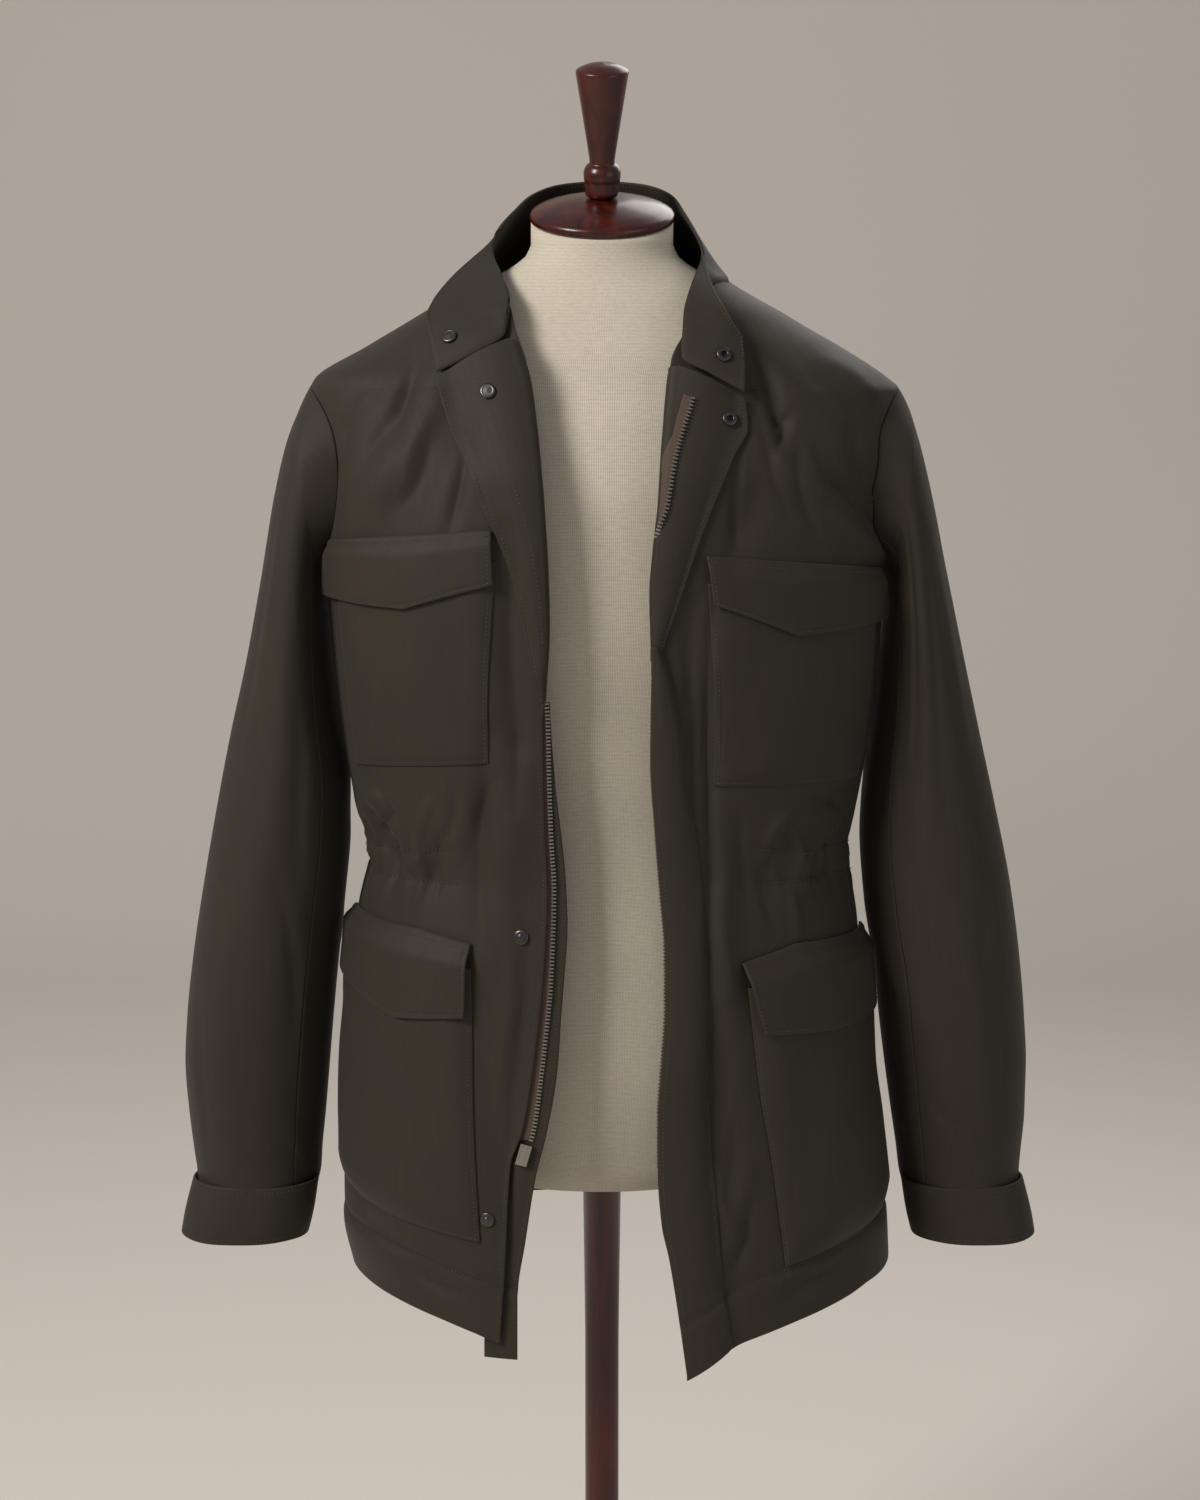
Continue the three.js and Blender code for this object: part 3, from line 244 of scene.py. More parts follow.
paper, add = new_material("paper")
mottle = add("ShaderNodeTexNoise", {"Scale": 3.0, "Detail": 2.0}).outputs["Fac"]
paint(paper, {"Base Color": blend(add, mottle, colour_of(214, 207, 198), colour_of(220, 213, 205)),
              "Roughness": 0.9})
sweep = [(SWEEP_FRONT, 0.0), (SWEEP_START, 0.0)]
sweep += [(SWEEP_START + SWEEP_RADIUS * math.sin(a), SWEEP_RADIUS * (1 - math.cos(a)))
          for a in np.linspace(0.1, math.pi / 2, 16)]
sweep += [(SWEEP_START + SWEEP_RADIUS, SWEEP_TOP)]
points = [(x, y, z) for y, z in sweep for x in (-SWEEP_SIDE, SWEEP_SIDE)]
quads = [(2 * i, 2 * i + 1, 2 * i + 3, 2 * i + 2) for i in range(len(sweep) - 1)]
mesh = bpy.data.meshes.new("backdrop")
mesh.from_pydata(points, [], quads)
mesh.materials.append(paper)
mesh.polygons.foreach_set("use_smooth", [True] * len(quads))
add_object("backdrop", mesh)
for name, (where, size, watts, colour) in LIGHTS.items():
    panel = bpy.data.lights.new(name, "AREA")
    panel.size, panel.energy, panel.color = size, watts, colour
    lamp = add_object(name, panel)
    lamp.location = where
    lamp.rotation_euler = (CHEST - Vector(where)).to_track_quat("-Z", "Y").to_euler()
world = bpy.data.worlds.new("studio")
world.use_nodes = True
fill(world.node_tree, world.node_tree.nodes["Background"], {"Color": SKY, "Strength": SKY_STRENGTH})
scene.world = world
print("lights", list(LIGHTS))

# %% [markdown]
# ## Finishes
# The cloth is a dense cotton twill: diagonal ribs under a millimetre apart, uneven yarns, and a cloudy
# tone from washing. Its pattern reads a UV map in metres that every shell carries, so the ribs keep
# their size and follow each piece. An attribute named rim is 1 on the edges, where the dye has worn.
# Linen, zip tape, wood and metal are made the same way, from noise and waves, with no pictures.

# %% Cloth, tape and thread
TWILL_LEAN = 28.0        # degrees that the ribs lean
RIB_SCALE, YARN_SCALE, WASH_SCALE = 330.0, 1500.0, 11.0
RIB_SHARE, YARN_SHARE, SLUB_SHARE = 0.22, 0.5, 0.4       # how strongly each shows in the weave
WORN = 0.22              # how much of the worn colour shows on a rim
COTTON, COTTON_WORN = colour_of(42, 36, 26), colour_of(58, 50, 38)


def weave_coordinates(add, turn=0.0):
    """The UV map in metres, turned by so many degrees."""
    lengths = add("ShaderNodeUVMap", uv_map="cloth").outputs["UV"]
    turned_map = add("ShaderNodeMapping", {"Vector": lengths, "Rotation": (0, 0, math.radians(turn))})
    return turned_map.outputs["Vector"]


def wave(add, vector, direction, scale, **inputs):
    inputs.update(Vector=vector, Scale=scale)
    return add("ShaderNodeTexWave", inputs, bands_direction=direction).outputs["Fac"]


def long_noise(add, vector, scale, **inputs):
    """Noise drawn out along one axis, like the slubs of a yarn or the grain of wood."""
    stretched = add("ShaderNodeMapping", {"Vector": vector, "Scale": scale}).outputs["Vector"]
    return add("ShaderNodeTexNoise", {"Vector": stretched, "Scale": 1.0, **inputs}).outputs["Fac"]


def twill_material(name, base, worn):
    material, add = new_material(name)
    flat = weave_coordinates(add)
    rib = wave(add, weave_coordinates(add, TWILL_LEAN), "X", RIB_SCALE, Distortion=0.6, Detail=1.0)
    yarn = add("ShaderNodeTexNoise", {"Vector": flat, "Scale": YARN_SCALE, "Detail": 2.0}).outputs["Fac"]
    slubs = long_noise(add, flat, (260.0, 26.0, 1.0), Detail=3.0)
    weave = maths(add, "MULTIPLY", rib, RIB_SHARE)
    weave = maths(add, "MULTIPLY_ADD", yarn, YARN_SHARE, weave)
    weave = maths(add, "MULTIPLY_ADD", slubs, SLUB_SHARE, weave)

    def by_weave(low, high):
        values = {"Value": weave, "From Min": 0.3, "From Max": 0.85, "To Min": low, "To Max": high}
        return add("ShaderNodeMapRange", values).outputs["Result"]

    wash = add("ShaderNodeTexNoise", {"Vector": add("ShaderNodeTexCoord").outputs["Object"],
                                      "Scale": WASH_SCALE, "Detail": 4.0, "Roughness": 0.6}).outputs["Fac"]
    tone = ramp(add, wash, [(0.3, [c * 0.93 for c in base[:3]] + [1]),
                            (0.72, [c * 1.07 for c in base[:3]] + [1])])
    woven = add("ShaderNodeVectorMath", {0: tone, "Scale": by_weave(0.84, 1.17)}, operation="SCALE")
    edge = maths(add, "MULTIPLY", add("ShaderNodeAttribute", attribute_name="rim").outputs["Fac"], WORN)
    paint(material, {
        "Base Color": blend(add, edge, woven.outputs["Vector"], worn), "Roughness": by_weave(0.74, 0.60),
        "Normal": relief(add, weave, 0.35, 0.0004), "Sheen Weight": 0.05, "Sheen Roughness": 0.45,
        "Specular IOR Level": 0.24,
    })
    return material


twill = twill_material("olive_twill", COTTON, COTTON_WORN)

tape, add = new_material("brown_tape")
rib = wave(add, weave_coordinates(add), "Y", 300.0, Distortion=0.8)
paint(tape, {"Base Color": blend(add, rib, colour_of(52, 37, 26), colour_of(80, 58, 42)), "Roughness": 0.75,
             "Normal": relief(add, rib, 0.5, 0.0003), "Sheen Weight": 0.1})

thread, add = new_material("sewing_thread")
ply = add("ShaderNodeTexNoise", {"Scale": 400.0, "Detail": 1.0}).outputs["Fac"]
paint(thread, {"Base Color": blend(add, ply, colour_of(34, 30, 23), colour_of(70, 62, 49)),
               "Roughness": 0.55})
print("cloth finishes", twill.name, tape.name, thread.name)

# %% Linen, wood and metal
linen, add = new_material("natural_linen")
flat = weave_coordinates(add)
yarn_shape = {"Distortion": 2.5, "Detail": 2.0, "Detail Scale": 0.6}
warp, weft = (wave(add, flat, direction, 300.0, **yarn_shape) for direction in "XY")
slubs = long_noise(add, flat, (170.0, 520.0, 1.0), Detail=3.0)
weave = maths(add, "MULTIPLY_ADD", slubs, 0.5, maths(add, "MULTIPLY", warp, weft))
paint(linen, {
    "Base Color": ramp(add, weave, [(0.2, colour_of(166, 155, 138)), (1.0, colour_of(214, 205, 190))]),
    "Normal": relief(add, weave, 0.3, 0.0004), "Roughness": 0.9,
})

mahogany, add = new_material("polished_mahogany")
grain = long_noise(add, add("ShaderNodeTexCoord").outputs["Object"], (60.0, 60.0, 7.0), Detail=6.0,
                   Roughness=0.65, Distortion=0.6)
paint(mahogany, {
    "Base Color": ramp(add, grain, [(0.32, colour_of(28, 6, 3)), (0.7, colour_of(78, 19, 9))]),
    "Normal": relief(add, grain, 0.06, 0.0004), "Roughness": 0.3, "Specular IOR Level": 0.35,
    "Coat Weight": 0.16, "Coat Roughness": 0.12,
})


def metal_material(name, dark, light, roughness):
    material, add = new_material(name)
    spots = add("ShaderNodeTexNoise", {"Scale": 700.0, "Detail": 4.0}).outputs["Fac"]
    paint(material, {"Base Color": blend(add, spots, dark, light), "Metallic": 1.0, "Roughness": roughness,
                     "Normal": relief(add, spots, 0.12, 0.0001)})
    return material


gunmetal = metal_material("gunmetal", colour_of(58, 58, 58), colour_of(94, 92, 89), 0.32)
zip_metal = metal_material("zip_nickel", colour_of(122, 119, 112), colour_of(178, 173, 164), 0.27)
print("hard finishes", mahogany.name, gunmetal.name, zip_metal.name)

# %% [markdown]
# ## From a surface to a cloth shell
# Cloth has two faces and a soft edge. A Solidify modifier could thicken a sheet, but its rim would be a
# sharp box. `shell` puts the two faces on either side of a middle surface and lets them meet in a round
# edge.

# %% Shell maker
shell_cut = {}           # each shell's flat width, length and area, in metres
FLIPPED = [0, 3, 2, 1]   # the order of a quad's corners, seen from its other side
GROOVE_WIDE, GROOVE_BEHIND = 0.8, 0.6    # half width of a stitch groove, and its share on the back
WORN_WIDE = 1.6          # width of the worn rim
LEAST_SHARE = 0.301      # smallest share of its box that a cut may fill


def round_again(at):
    """A grid of point numbers with its first column once more at the end, so that it closes."""
    return np.concatenate([at, at[:, :1]], axis=1)


def quads_of(at):
    """A quad between every four neighbours in a grid of point numbers."""
    return np.stack([at[:-1, :-1], at[:-1, 1:], at[1:, 1:], at[1:, :-1]], axis=-1).reshape(-1, 4)


def grid_faces(rows, columns, wraps):
    """Quads of a closed wall: an outer and an inner grid, joined round the edge."""
    offset = rows * columns
    at = np.arange(offset).reshape(rows, columns)
    if wraps:
        at = round_again(at)

    def border(line):
        return np.stack([line[:-1], line[1:], line[1:] + offset, line[:-1] + offset], axis=1)

    faces = [quads_of(at), quads_of(at)[:, FLIPPED] + offset, border(at[0])[:, FLIPPED], border(at[-1])]
    if not wraps:
        faces += [border(at[:, 0]), border(at[:, -1])[:, FLIPPED]]
    return np.concatenate(faces)


def object_from(name, points, faces, material, uv=None, rim=None, caps=(), lap=None):
    """A smooth mesh object at the origin, with its faces pointing out. A UV map may lap round."""
    a, b, c = (points[faces[:, i]] for i in range(3))
    d = points[faces[:, -1]]
    volume = np.einsum("ij,ij->i", a, np.cross(b, c)).sum() + np.einsum("ij,ij->i", a, np.cross(c, d)).sum()
    if volume < 0:
        faces = faces[:, ::-1]
        caps = [cap[::-1] for cap in caps]
    mesh = bpy.data.meshes.new(name)
    mesh.from_pydata((points * MM).tolist(), [], faces.tolist() + list(caps))
    if uv is not None:
        corner = np.concatenate([faces.ravel(), *caps]).astype(int)
        places = uv[corner]
        if lap:
            quads = places[: faces.size].reshape(-1, 4, 2)
            far = np.ptp(quads[..., 0], axis=1)[:, None] > lap / 2
            quads[..., 0] += lap * (far & (quads[..., 0] < quads[..., 0].mean(axis=1, keepdims=True)))
        mesh.uv_layers.new(name="cloth").data.foreach_set("uv", (places * MM).ravel())
    if rim is not None:
        mesh.attributes.new("rim", "FLOAT", "POINT").data.foreach_set("value", rim.astype(np.float32))
    mesh.materials.append(material)
    mesh.polygons.foreach_set("use_smooth", [True] * len(mesh.polygons))
    made = add_object(name, mesh)
    return made


def distances(middle):
    """Length run along the rows and along the columns of a grid, from its first row and column."""
    across = np.linalg.norm(np.diff(middle, axis=1), axis=-1).cumsum(axis=1)
    down = np.linalg.norm(np.diff(middle, axis=0), axis=-1).cumsum(axis=0)
    return np.pad(across, ((0, 0), (1, 0))), np.pad(down, ((1, 0), (0, 0)))


def grid_normals(middle, wraps):
    if wraps:
        padded = np.concatenate([middle[:, -1:], middle, middle[:, :1]], axis=1)
        sideways = padded[:, 2:] - padded[:, :-2]
    else:
        sideways = np.gradient(middle, axis=1)
    return unit(np.cross(sideways, np.gradient(middle, axis=0)))


def shell(name, point_at, rows, columns, thick, out=0.0, wraps=False, groove=(), material=None):
    """Closed cloth wall on a surface given as point_at(row, column, out)."""
    down_at, across_at = np.meshgrid(rows, columns, indexing="ij")
    middle = point_at(down_at, across_at, out + thick / 2)
    normal = grid_normals(middle, wraps)
    outward = point_at(down_at, across_at, out + thick / 2 + 1) - middle
    if np.einsum("ijk,ijk->", normal, outward) < 0:
        normal = -normal
    across, down = distances(middle)
    lap_step = np.linalg.norm(middle[:, 0] - middle[:, -1], axis=-1).mean() if wraps else 0.0
    to_edge = np.minimum(down, down[-1:] - down)
    if not wraps:
        to_edge = np.minimum(to_edge, np.minimum(across, across[:, -1:] - across))
    round_edge = np.sqrt(np.clip(1 - (1 - np.clip(to_edge / (thick / 2), 0, 1)) ** 2, 0.02, 1))
    raised = np.zeros_like(to_edge)
    for where, deep in groove:
        raised -= deep * np.exp(-(((to_edge - where) / GROOVE_WIDE) ** 2))
    half = thick / 2 * round_edge
    face = middle + normal * (half + raised)[..., None]
    back = middle - normal * (half - raised * GROOVE_BEHIND)[..., None]
    uv = np.stack([across - across[:, -1:] / 2, down], axis=-1).reshape(-1, 2)
    rim = np.exp(-((to_edge / WORN_WIDE) ** 2)).reshape(-1)
    made = object_from(
        name, np.concatenate([face.reshape(-1, 3), back.reshape(-1, 3)]),
        grid_faces(len(rows), len(columns), wraps), material or twill,
        np.concatenate([uv, uv]), np.concatenate([rim, rim]), lap=wraps and across[:, -1].mean() + lap_step,
    )
    corners = [middle[:-1, :-1], middle[:-1, 1:], middle[1:, 1:], middle[1:, :-1]]
    area = 0.5 * np.linalg.norm(np.cross(corners[2] - corners[0], corners[3] - corners[1]), axis=-1).sum()
    if wraps:
        area *= 1 + lap_step / across[:, -1].mean()
    width, length = across[:, -1].max() + lap_step, down[-1].max()
    shell_cut[name] = [round(v, 4) for v in (width * MM, length * MM, area * MM * MM)]
    return made


def wear(piece, held, rests_on, *nodes):
    """The piece rides on the one body and stands for its solids."""
    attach(piece, "root")
    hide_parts(*(nodes or [piece.name.replace("cloth_", "")]))
    width, length, area = shell_cut[piece.name]
    area = min(max(area, LEAST_SHARE * width * length), width * length)
    print(f"{piece.name}: cut {width:.3f} x {length:.3f} m, {len(piece.data.polygons)} faces")


print("shell maker ready, rim rows", RIM)

# %% [markdown]
# ## The body of the jacket
# The body is a stack of rounded ovals, one for each height in the table. Angle 0 is the middle of the
# front, 90 the wearer's left side and 180 the middle of the back. Folds are soft humps and hollows added
# to that outline. The long ones are those of the solids. The shorter ones are creases placed
# where the cloth is pulled: from the collar to the armhole, beside the lapels, and over the waist cord.

# %% Body outline
SEAM = 0.2               # gap beside the side seam
WALL = 2.0               # one layer of cloth
FOLDED_WALL = 2.4        # cloth folded double
LIFT = 0.8               # air between two layers
UNDERARM, SHOULDER_TIP = 1231.0, 1371.0
ARMHOLE_FRONT, ARMHOLE_BACK, ARMHOLE_SQUARE = 72.0, 80.0, 2.3
HEM_ZONE, HEM_LEVEL, NECK_POINT = 770.0, 664.0, 1452.0
STEP_ROUND, STEP_UP = 1.5, 3.0

BODY = table(
    "z right left front back square",
    (664, 204, 235, 157, 138, 2.3), (700, 211, 233, 156, 138, 2.3), (786, 210, 224, 155, 134, 2.3),
    (837, 207, 215, 153, 130, 2.3), (904, 200, 209, 151, 122, 2.3), (950, 197, 205, 149, 115, 2.3),
    (975, 192, 201, 147, 110, 2.3), (1004, 184, 196, 145, 107, 2.3), (1045, 197, 204, 146, 112, 2.3),
    (1103, 206, 213, 148, 120, 2.35), (1167, 213, 219, 150, 128, 2.4), (1231, 218, 222, 150, 133, 2.4),
    (1300, 221, 226, 146, 134, 2.4), (1340, 224, 230, 132, 128, 2.35), (1366, 227, 232, 121, 118, 2.3),
    (1374, 224, 224, 118, 115, 2.3), (1400, 182, 184, 109, 107, 2.2), (1414, 158, 159, 103, 103, 2.2),
    (1427, 136, 137, 97, 99, 2.2), (1439, 115, 115, 90, 95, 2.2), (1452, 97, 95.5, 82, 91, 2.2),
    (1468, 90, 88, 80, 85, 2.2),
)


def outline(angle, z):
    """Point of the body's plain outline."""
    sine, cosine = sin_of(angle), cos_of(angle)
    power = 2 / along(BODY, "square", z)
    half = np.where(sine < 0, along(BODY, "right", z), along(BODY, "left", z))
    deep = np.where(cosine < 0, along(BODY, "back", z), along(BODY, "front", z))
    return place(bent(sine, power) * half, -bent(cosine, power) * deep, z)


def outward(angle, z):
    """The way the body's outline faces, read from points a little to each side."""
    around = outline(angle + STEP_ROUND, z) - outline(angle - STEP_ROUND, z)
    up = outline(angle, z + STEP_UP) - outline(angle, z - STEP_UP)
    return unit(np.cross(around, up))


def angle_of_x(side, x, z):
    half = along(BODY, "right" if side < 0 else "left", z)
    return np.degrees(np.arcsin(np.clip(x / half, 0, 1) ** (along(BODY, "square", z) / 2)))


def angle_of_depth(y, z, column):
    share = np.maximum(y, SEAM) / along(BODY, column, z)
    return np.degrees(np.arccos(np.clip(share, 0, 1) ** (along(BODY, "square", z) / 2)))


def armhole_depth(z, reach):
    t = np.clip(np.abs((2 * z - UNDERARM - SHOULDER_TIP) / (SHOULDER_TIP - UNDERARM)), 0, 1)
    return np.maximum(SEAM, reach * (1 - t**ARMHOLE_SQUARE) ** (1 / ARMHOLE_SQUARE))


print("chest depth front to back", along(BODY, "front", UNDERARM) + along(BODY, "back", UNDERARM))

# %% Folds and creases
FOLD_COLUMNS = "x1 z1 x2 z2 wide high bow sharp"
FRONT_FOLDS = table(
    FOLD_COLUMNS,
    (-112, 1392, -186, 1262, 13, 5, 0, 2), (-96, 1340, -140, 1282, 15, -3, 0, 2),
    (-150, 1402, -205, 1310, 12, -3, 0, 2), (-72, 1266, -66, 1110, 10, -5, 0, 2),
    (-60, 1090, -84, 940, 12, 3, 0, 2), (-88, 1070, -100, 1020, 9, -3, 0, 2),
    (-90, 905, -74, 720, 11, -3, 0, 2), (-186, 718, -126, 686, 9, -2.5, 0, 2),
    (106, 1352, 176, 1270, 12, 5, 0, 2), (172, 1276, 218, 1238, 8, 6, 0, 2),
    (120, 1400, 205, 1318, 13, 4, 0, 2), (118, 1306, 96, 1246, 12, -4, 0, 2),
    (140, 1384, 196, 1350, 11, -3, 0, 2), (68, 1216, 75, 1010, 9, -5, 0, 2),
    (92, 900, 102, 680, 10, -5, 0, 2), (110, 780, 96, 706, 8, 4, 0, 2), (190, 700, 140, 668, 9, -3, 0, 2),
)
FRONT_CREASES = table(
    FOLD_COLUMNS,
    (-154, 1356, -188, 1292, 2.6, -1.5, 3, 1.3), (-140, 1396, -168, 1326, 8, -2.6, -5, 1.8),
    (-122, 1356, -148, 1296, 6, 1.6, 4, 1.8), (-101, 1322, -112, 1270, 5, -2.4, 0, 1.6),
    (-128, 1330, -150, 1286, 4, -1.2, -4, 1.5), (-176, 1352, -204, 1300, 6, 1.8, 5, 1.8),
    (-193, 1340, -210, 1262, 5, -2.2, 3, 1.6), (-60, 1230, -62, 1120, 4, 1.6, 2, 1.7),
    (-80, 1085, -96, 1036, 3, -1.2, 3, 1.4), (-112, 1074, -122, 1026, 4, -1.3, -4, 1.5),
    (-130, 1062, -140, 1018, 3, 1.4, 3, 1.4), (-160, 1048, -172, 1014, 4, -2.4, 5, 1.4),
    (-178, 1030, -150, 1004, 3.4, -2.2, -4, 1.4), (-152, 1004, -136, 1022, 3, 1.8, 3, 1.4),
    (-84, 1118, -92, 956, 7, -1.8, 4, 1.8), (-68, 980, -80, 840, 8, 1.2, -5, 1.9),
    (-64, 900, -70, 800, 5, -1.0, 3, 1.7), (-150, 690, -100, 676, 5, -1.4, 3, 1.7),
    (-110, 716, -86, 690, 5, 1.2, 3, 1.7), (-196, 930, -188, 870, 6, 1.5, 3, 1.7),
    (111, 1392, 130, 1340, 6, -3.4, -5, 1.7), (128, 1354, 138, 1348, 4, -2.6, 4, 1.5),
    (137, 1350, 126, 1326, 4.5, -2.8, -3, 1.5), (107, 1384, 139, 1276, 2.6, -1.3, 3, 1.3),
    (150, 1330, 176, 1290, 5, 1.6, 5, 1.6), (142, 1320, 160, 1268, 4, -1.6, 4, 1.5),
    (160, 1306, 200, 1262, 3.6, -2.4, -8, 1.4), (100, 1316, 99, 1256, 4, -1.8, 2, 1.6),
    (186, 1340, 214, 1282, 7, -2.0, 6, 1.8), (164, 1392, 212, 1352, 8, 1.4, -6, 1.9),
    (84, 1206, 88, 1100, 3.6, 1.3, 2, 1.6), (60, 1200, 66, 1060, 4, -1.3, -3, 1.6),
    (159, 1062, 196, 1068, 4, -2.0, 6, 1.5), (130, 1050, 152, 1016, 3.4, 1.6, -4, 1.4),
    (194, 1059, 146, 1054, 3.2, -1.7, -5, 1.3), (146, 1054, 122, 1016, 3.2, 1.3, 5, 1.3),
    (138, 1038, 148, 1022, 3, -1.6, 2, 1.2), (147, 1026, 158, 998, 3, 1.6, -3, 1.2),
    (186, 1030, 159, 990, 3, -1.7, 5, 1.2), (192, 1008, 152, 992, 3, 1.5, -5, 1.2),
    (120, 1013, 132, 964, 3, -1.1, 3, 1.3), (88, 1062, 106, 816, 10, 2.0, 3, 1.9),
    (79, 1070, 88, 756, 5, -1.5, 3, 1.5),
    (-180, 1074, -158, 1026, 3.2, -2.0, -5, 1.3), (-173, 1044, -142, 1000, 3, 1.4, 5, 1.2),
    (-176, 1024, -134, 998, 3, -1.4, 5, 1.2), (-120, 1040, -126, 990, 3, -1.0, 3, 1.3),
    (166, 1012, 190, 1020, 3, -1.8, -4, 1.4), (104, 1046, 112, 985, 3, -1.2, 3, 1.5),
    (140, 996, 150, 950, 3.5, 1.3, -3, 1.5), (92, 1010, 96, 920, 5, 1.2, 4, 1.7),
    (88, 778, 106, 724, 4, 2.2, 4, 1.5), (112, 752, 104, 700, 3.6, -1.8, -3, 1.5),
    (150, 690, 190, 700, 5, 1.5, 4, 1.7), (100, 846, 96, 760, 5, 1.3, 3, 1.7),
    (82, 1210, 84, 1000, 4.5, -2.4, 4, 1.5), (81, 900, 90, 690, 5, -2.2, 5, 1.5),
    (-66, 1236, -64, 1060, 5, -2.4, -2, 1.4), (-58, 960, -76, 760, 5, -1.4, -4, 1.6),
    (74, 1206, 78, 960, 4, 2.0, 3, 1.5), (172, 1304, 214, 1248, 4, -2.4, -9, 1.3),
    (-140, 1384, -152, 1330, 7, -1.6, 4, 1.6), (-178, 1368, -196, 1306, 5, -1.3, 5, 1.5),
    (-168, 1060, -190, 1036, 4, 1.6, 3, 1.4), (-182, 1052, -160, 1022, 3, -2.2, 3, 1.3),
    (-190, 1022, -176, 1000, 3.4, 2.2, -3, 1.3), (182, 1034, 172, 1006, 3.2, 2.0, 3, 1.3),
    (176, 1056, 190, 1030, 3.4, -2.0, -4, 1.3),
)
BACK_FOLDS = table(
    FOLD_COLUMNS,
    (-200, 1290, -120, 1180, 15, 4, 0, 2), (196, 1276, 128, 1166, 14, 4, 0, 2),
    (-150, 1330, -160, 1130, 13, -3, 0, 2), (160, 1340, 150, 1120, 13, -3, 0, 2),
    (-30, 1100, -55, 1030, 12, 3, 0, 2), (60, 950, 84, 720, 16, 4, 0, 2),
    (-90, 960, -104, 730, 15, 4, 0, 2), (-10, 940, 6, 690, 16, -4, 0, 2),
)
BACK_CREASES = table(
    FOLD_COLUMNS,
    (-190, 1262, -108, 1226, 5, -2.2, 8, 1.6), (-176, 1302, -130, 1230, 6, 1.8, -6, 1.7),
    (186, 1258, 112, 1218, 5, -2.0, -8, 1.6), (178, 1306, 136, 1236, 6, 1.6, 6, 1.7),
    (-64, 1420, -110, 1340, 8, 1.5, 6, 1.9), (70, 1416, 118, 1330, 8, 1.3, -6, 1.9),
    (-20, 1436, -8, 1330, 9, -1.2, 4, 1.9), (-120, 1130, -84, 1060, 6, -1.6, 5, 1.7),
    (130, 1124, 96, 1056, 6, -1.7, -5, 1.7), (20, 1090, 34, 1026, 5, 1.5, 4, 1.6),
    (-80, 1060, -92, 1014, 4, 1.8, 3, 1.5), (96, 1050, 108, 1012, 4, 1.6, -3, 1.5),
    (-150, 1046, -132, 1010, 4, -1.8, 4, 1.5), (150, 1052, 138, 1008, 4, 1.7, -4, 1.5),
    (40, 990, 58, 900, 6, -1.6, 5, 1.7), (-46, 984, -60, 880, 6, 1.6, -5, 1.7),
    (-130, 980, -146, 860, 7, -1.8, 5, 1.7), (126, 984, 148, 850, 7, -1.7, -5, 1.7),
    (-40, 760, -56, 690, 8, 1.6, 4, 1.8), (110, 770, 128, 690, 8, 1.4, -4, 1.8),
)


def fold_height(folds, x, z):
    """Height of all folds at a place: a hump across each, fading at its two ends."""
    height = np.zeros(np.broadcast(x, z).shape)
    for x1, z1, x2, z2, wide, high, bow, sharp in zip(*folds.values()):
        dx, dz = x2 - x1, z2 - z1
        length = math.hypot(dx, dz)
        t = ((x - x1) * dx + (z - z1) * dz) / length**2
        near = np.clip(t, 0, 1)
        aside = ((x - x1) * dz - (z - z1) * dx) / length - bow * 4 * near * (1 - near)
        away = np.hypot(aside, (t - near) * length)
        height += high * np.sin(np.pi * mix(0.12, 0.88, near)) * np.exp(-((away / wide) ** sharp))
    return height


FRONT_DEEPER, BACK_DEEPER = 2.1, 1.4     # depth of all creases against their tables
FRONT_CREASES["high"] *= FRONT_DEEPER
BACK_CREASES["high"] *= BACK_DEEPER
WAIST, WAIST_CASING = 1004.0, 26.0       # height of the cord, and how far its gathers reach
GATHER_HIGH, GATHER_STEP, GATHER_FROM = 2.2, 24.0, 32.0
GATHER_COUNT, GATHER_WIDE = 84, 1.35     # number of small puckers, and half a pucker in degrees
GATHER_SPAN = 80.0       # no pucker reaches further than this from the waist
luck = np.random.default_rng(7)
gather_at = np.sort(luck.uniform(GATHER_FROM + 4, 360 - GATHER_FROM - 4, GATHER_COUNT))
gather_high = luck.uniform(1.8, 4.2, GATHER_COUNT) * luck.choice([-1, 1], GATHER_COUNT, p=[0.45, 0.55])
gather_up = luck.uniform(9, 34, GATHER_COUNT)
gather_down = luck.uniform(8, 32, GATHER_COUNT)
gather_lean = luck.uniform(-0.09, 0.09, GATHER_COUNT)


def gather_height(angle, z):
    """Even waves over the waist cord, and the small uneven puckers between its stitch lines."""
    turn = np.mod(angle, 360)
    start = smooth(np.minimum(turn, 360 - turn), GATHER_FROM, GATHER_FROM + 12)
    band = np.exp(-(((z - WAIST) / WAIST_CASING) ** 2))
    height = GATHER_HIGH * start * band * np.cos(2 * np.pi * turn / GATHER_STEP)
    if np.min(np.abs(z - WAIST)) > GATHER_SPAN:
        return height
    for where, high, up, down, lean in zip(gather_at, gather_high, gather_up, gather_down, gather_lean):
        rise = z - WAIST
        reach = np.where(rise > 0, up, down)
        aside = np.abs(turn - where - lean * rise) / GATHER_WIDE
        height += high * start * np.exp(-((rise / reach) ** 2) - aside**1.5)
    return height


HEM_TURN, HEM_THICK = 45.0, 0.9          # depth of the turned hem, and how much it stands out
RIGHT_HEM = table("angle z", (14, 637), (19, 640), (26, 647), (37, 655), (54, 662), (70, 665), (90, 664))
LEFT_HEM = table("angle z", (10, 613), (14, 617), (23, 638), (28, 643), (38, 651), (54, 660), (64, 664),
                 (90, 664))
CASING_GROOVE, HEM_GROOVE = (0.9, 2.6), (1.1, 3.0)       # depth and half width
CASING = table("turn high low", (30, 1027, 999), (50, 1019, 997), (90, 1014, 990), (130, 1019, 991),
               (180, 1018, 988))


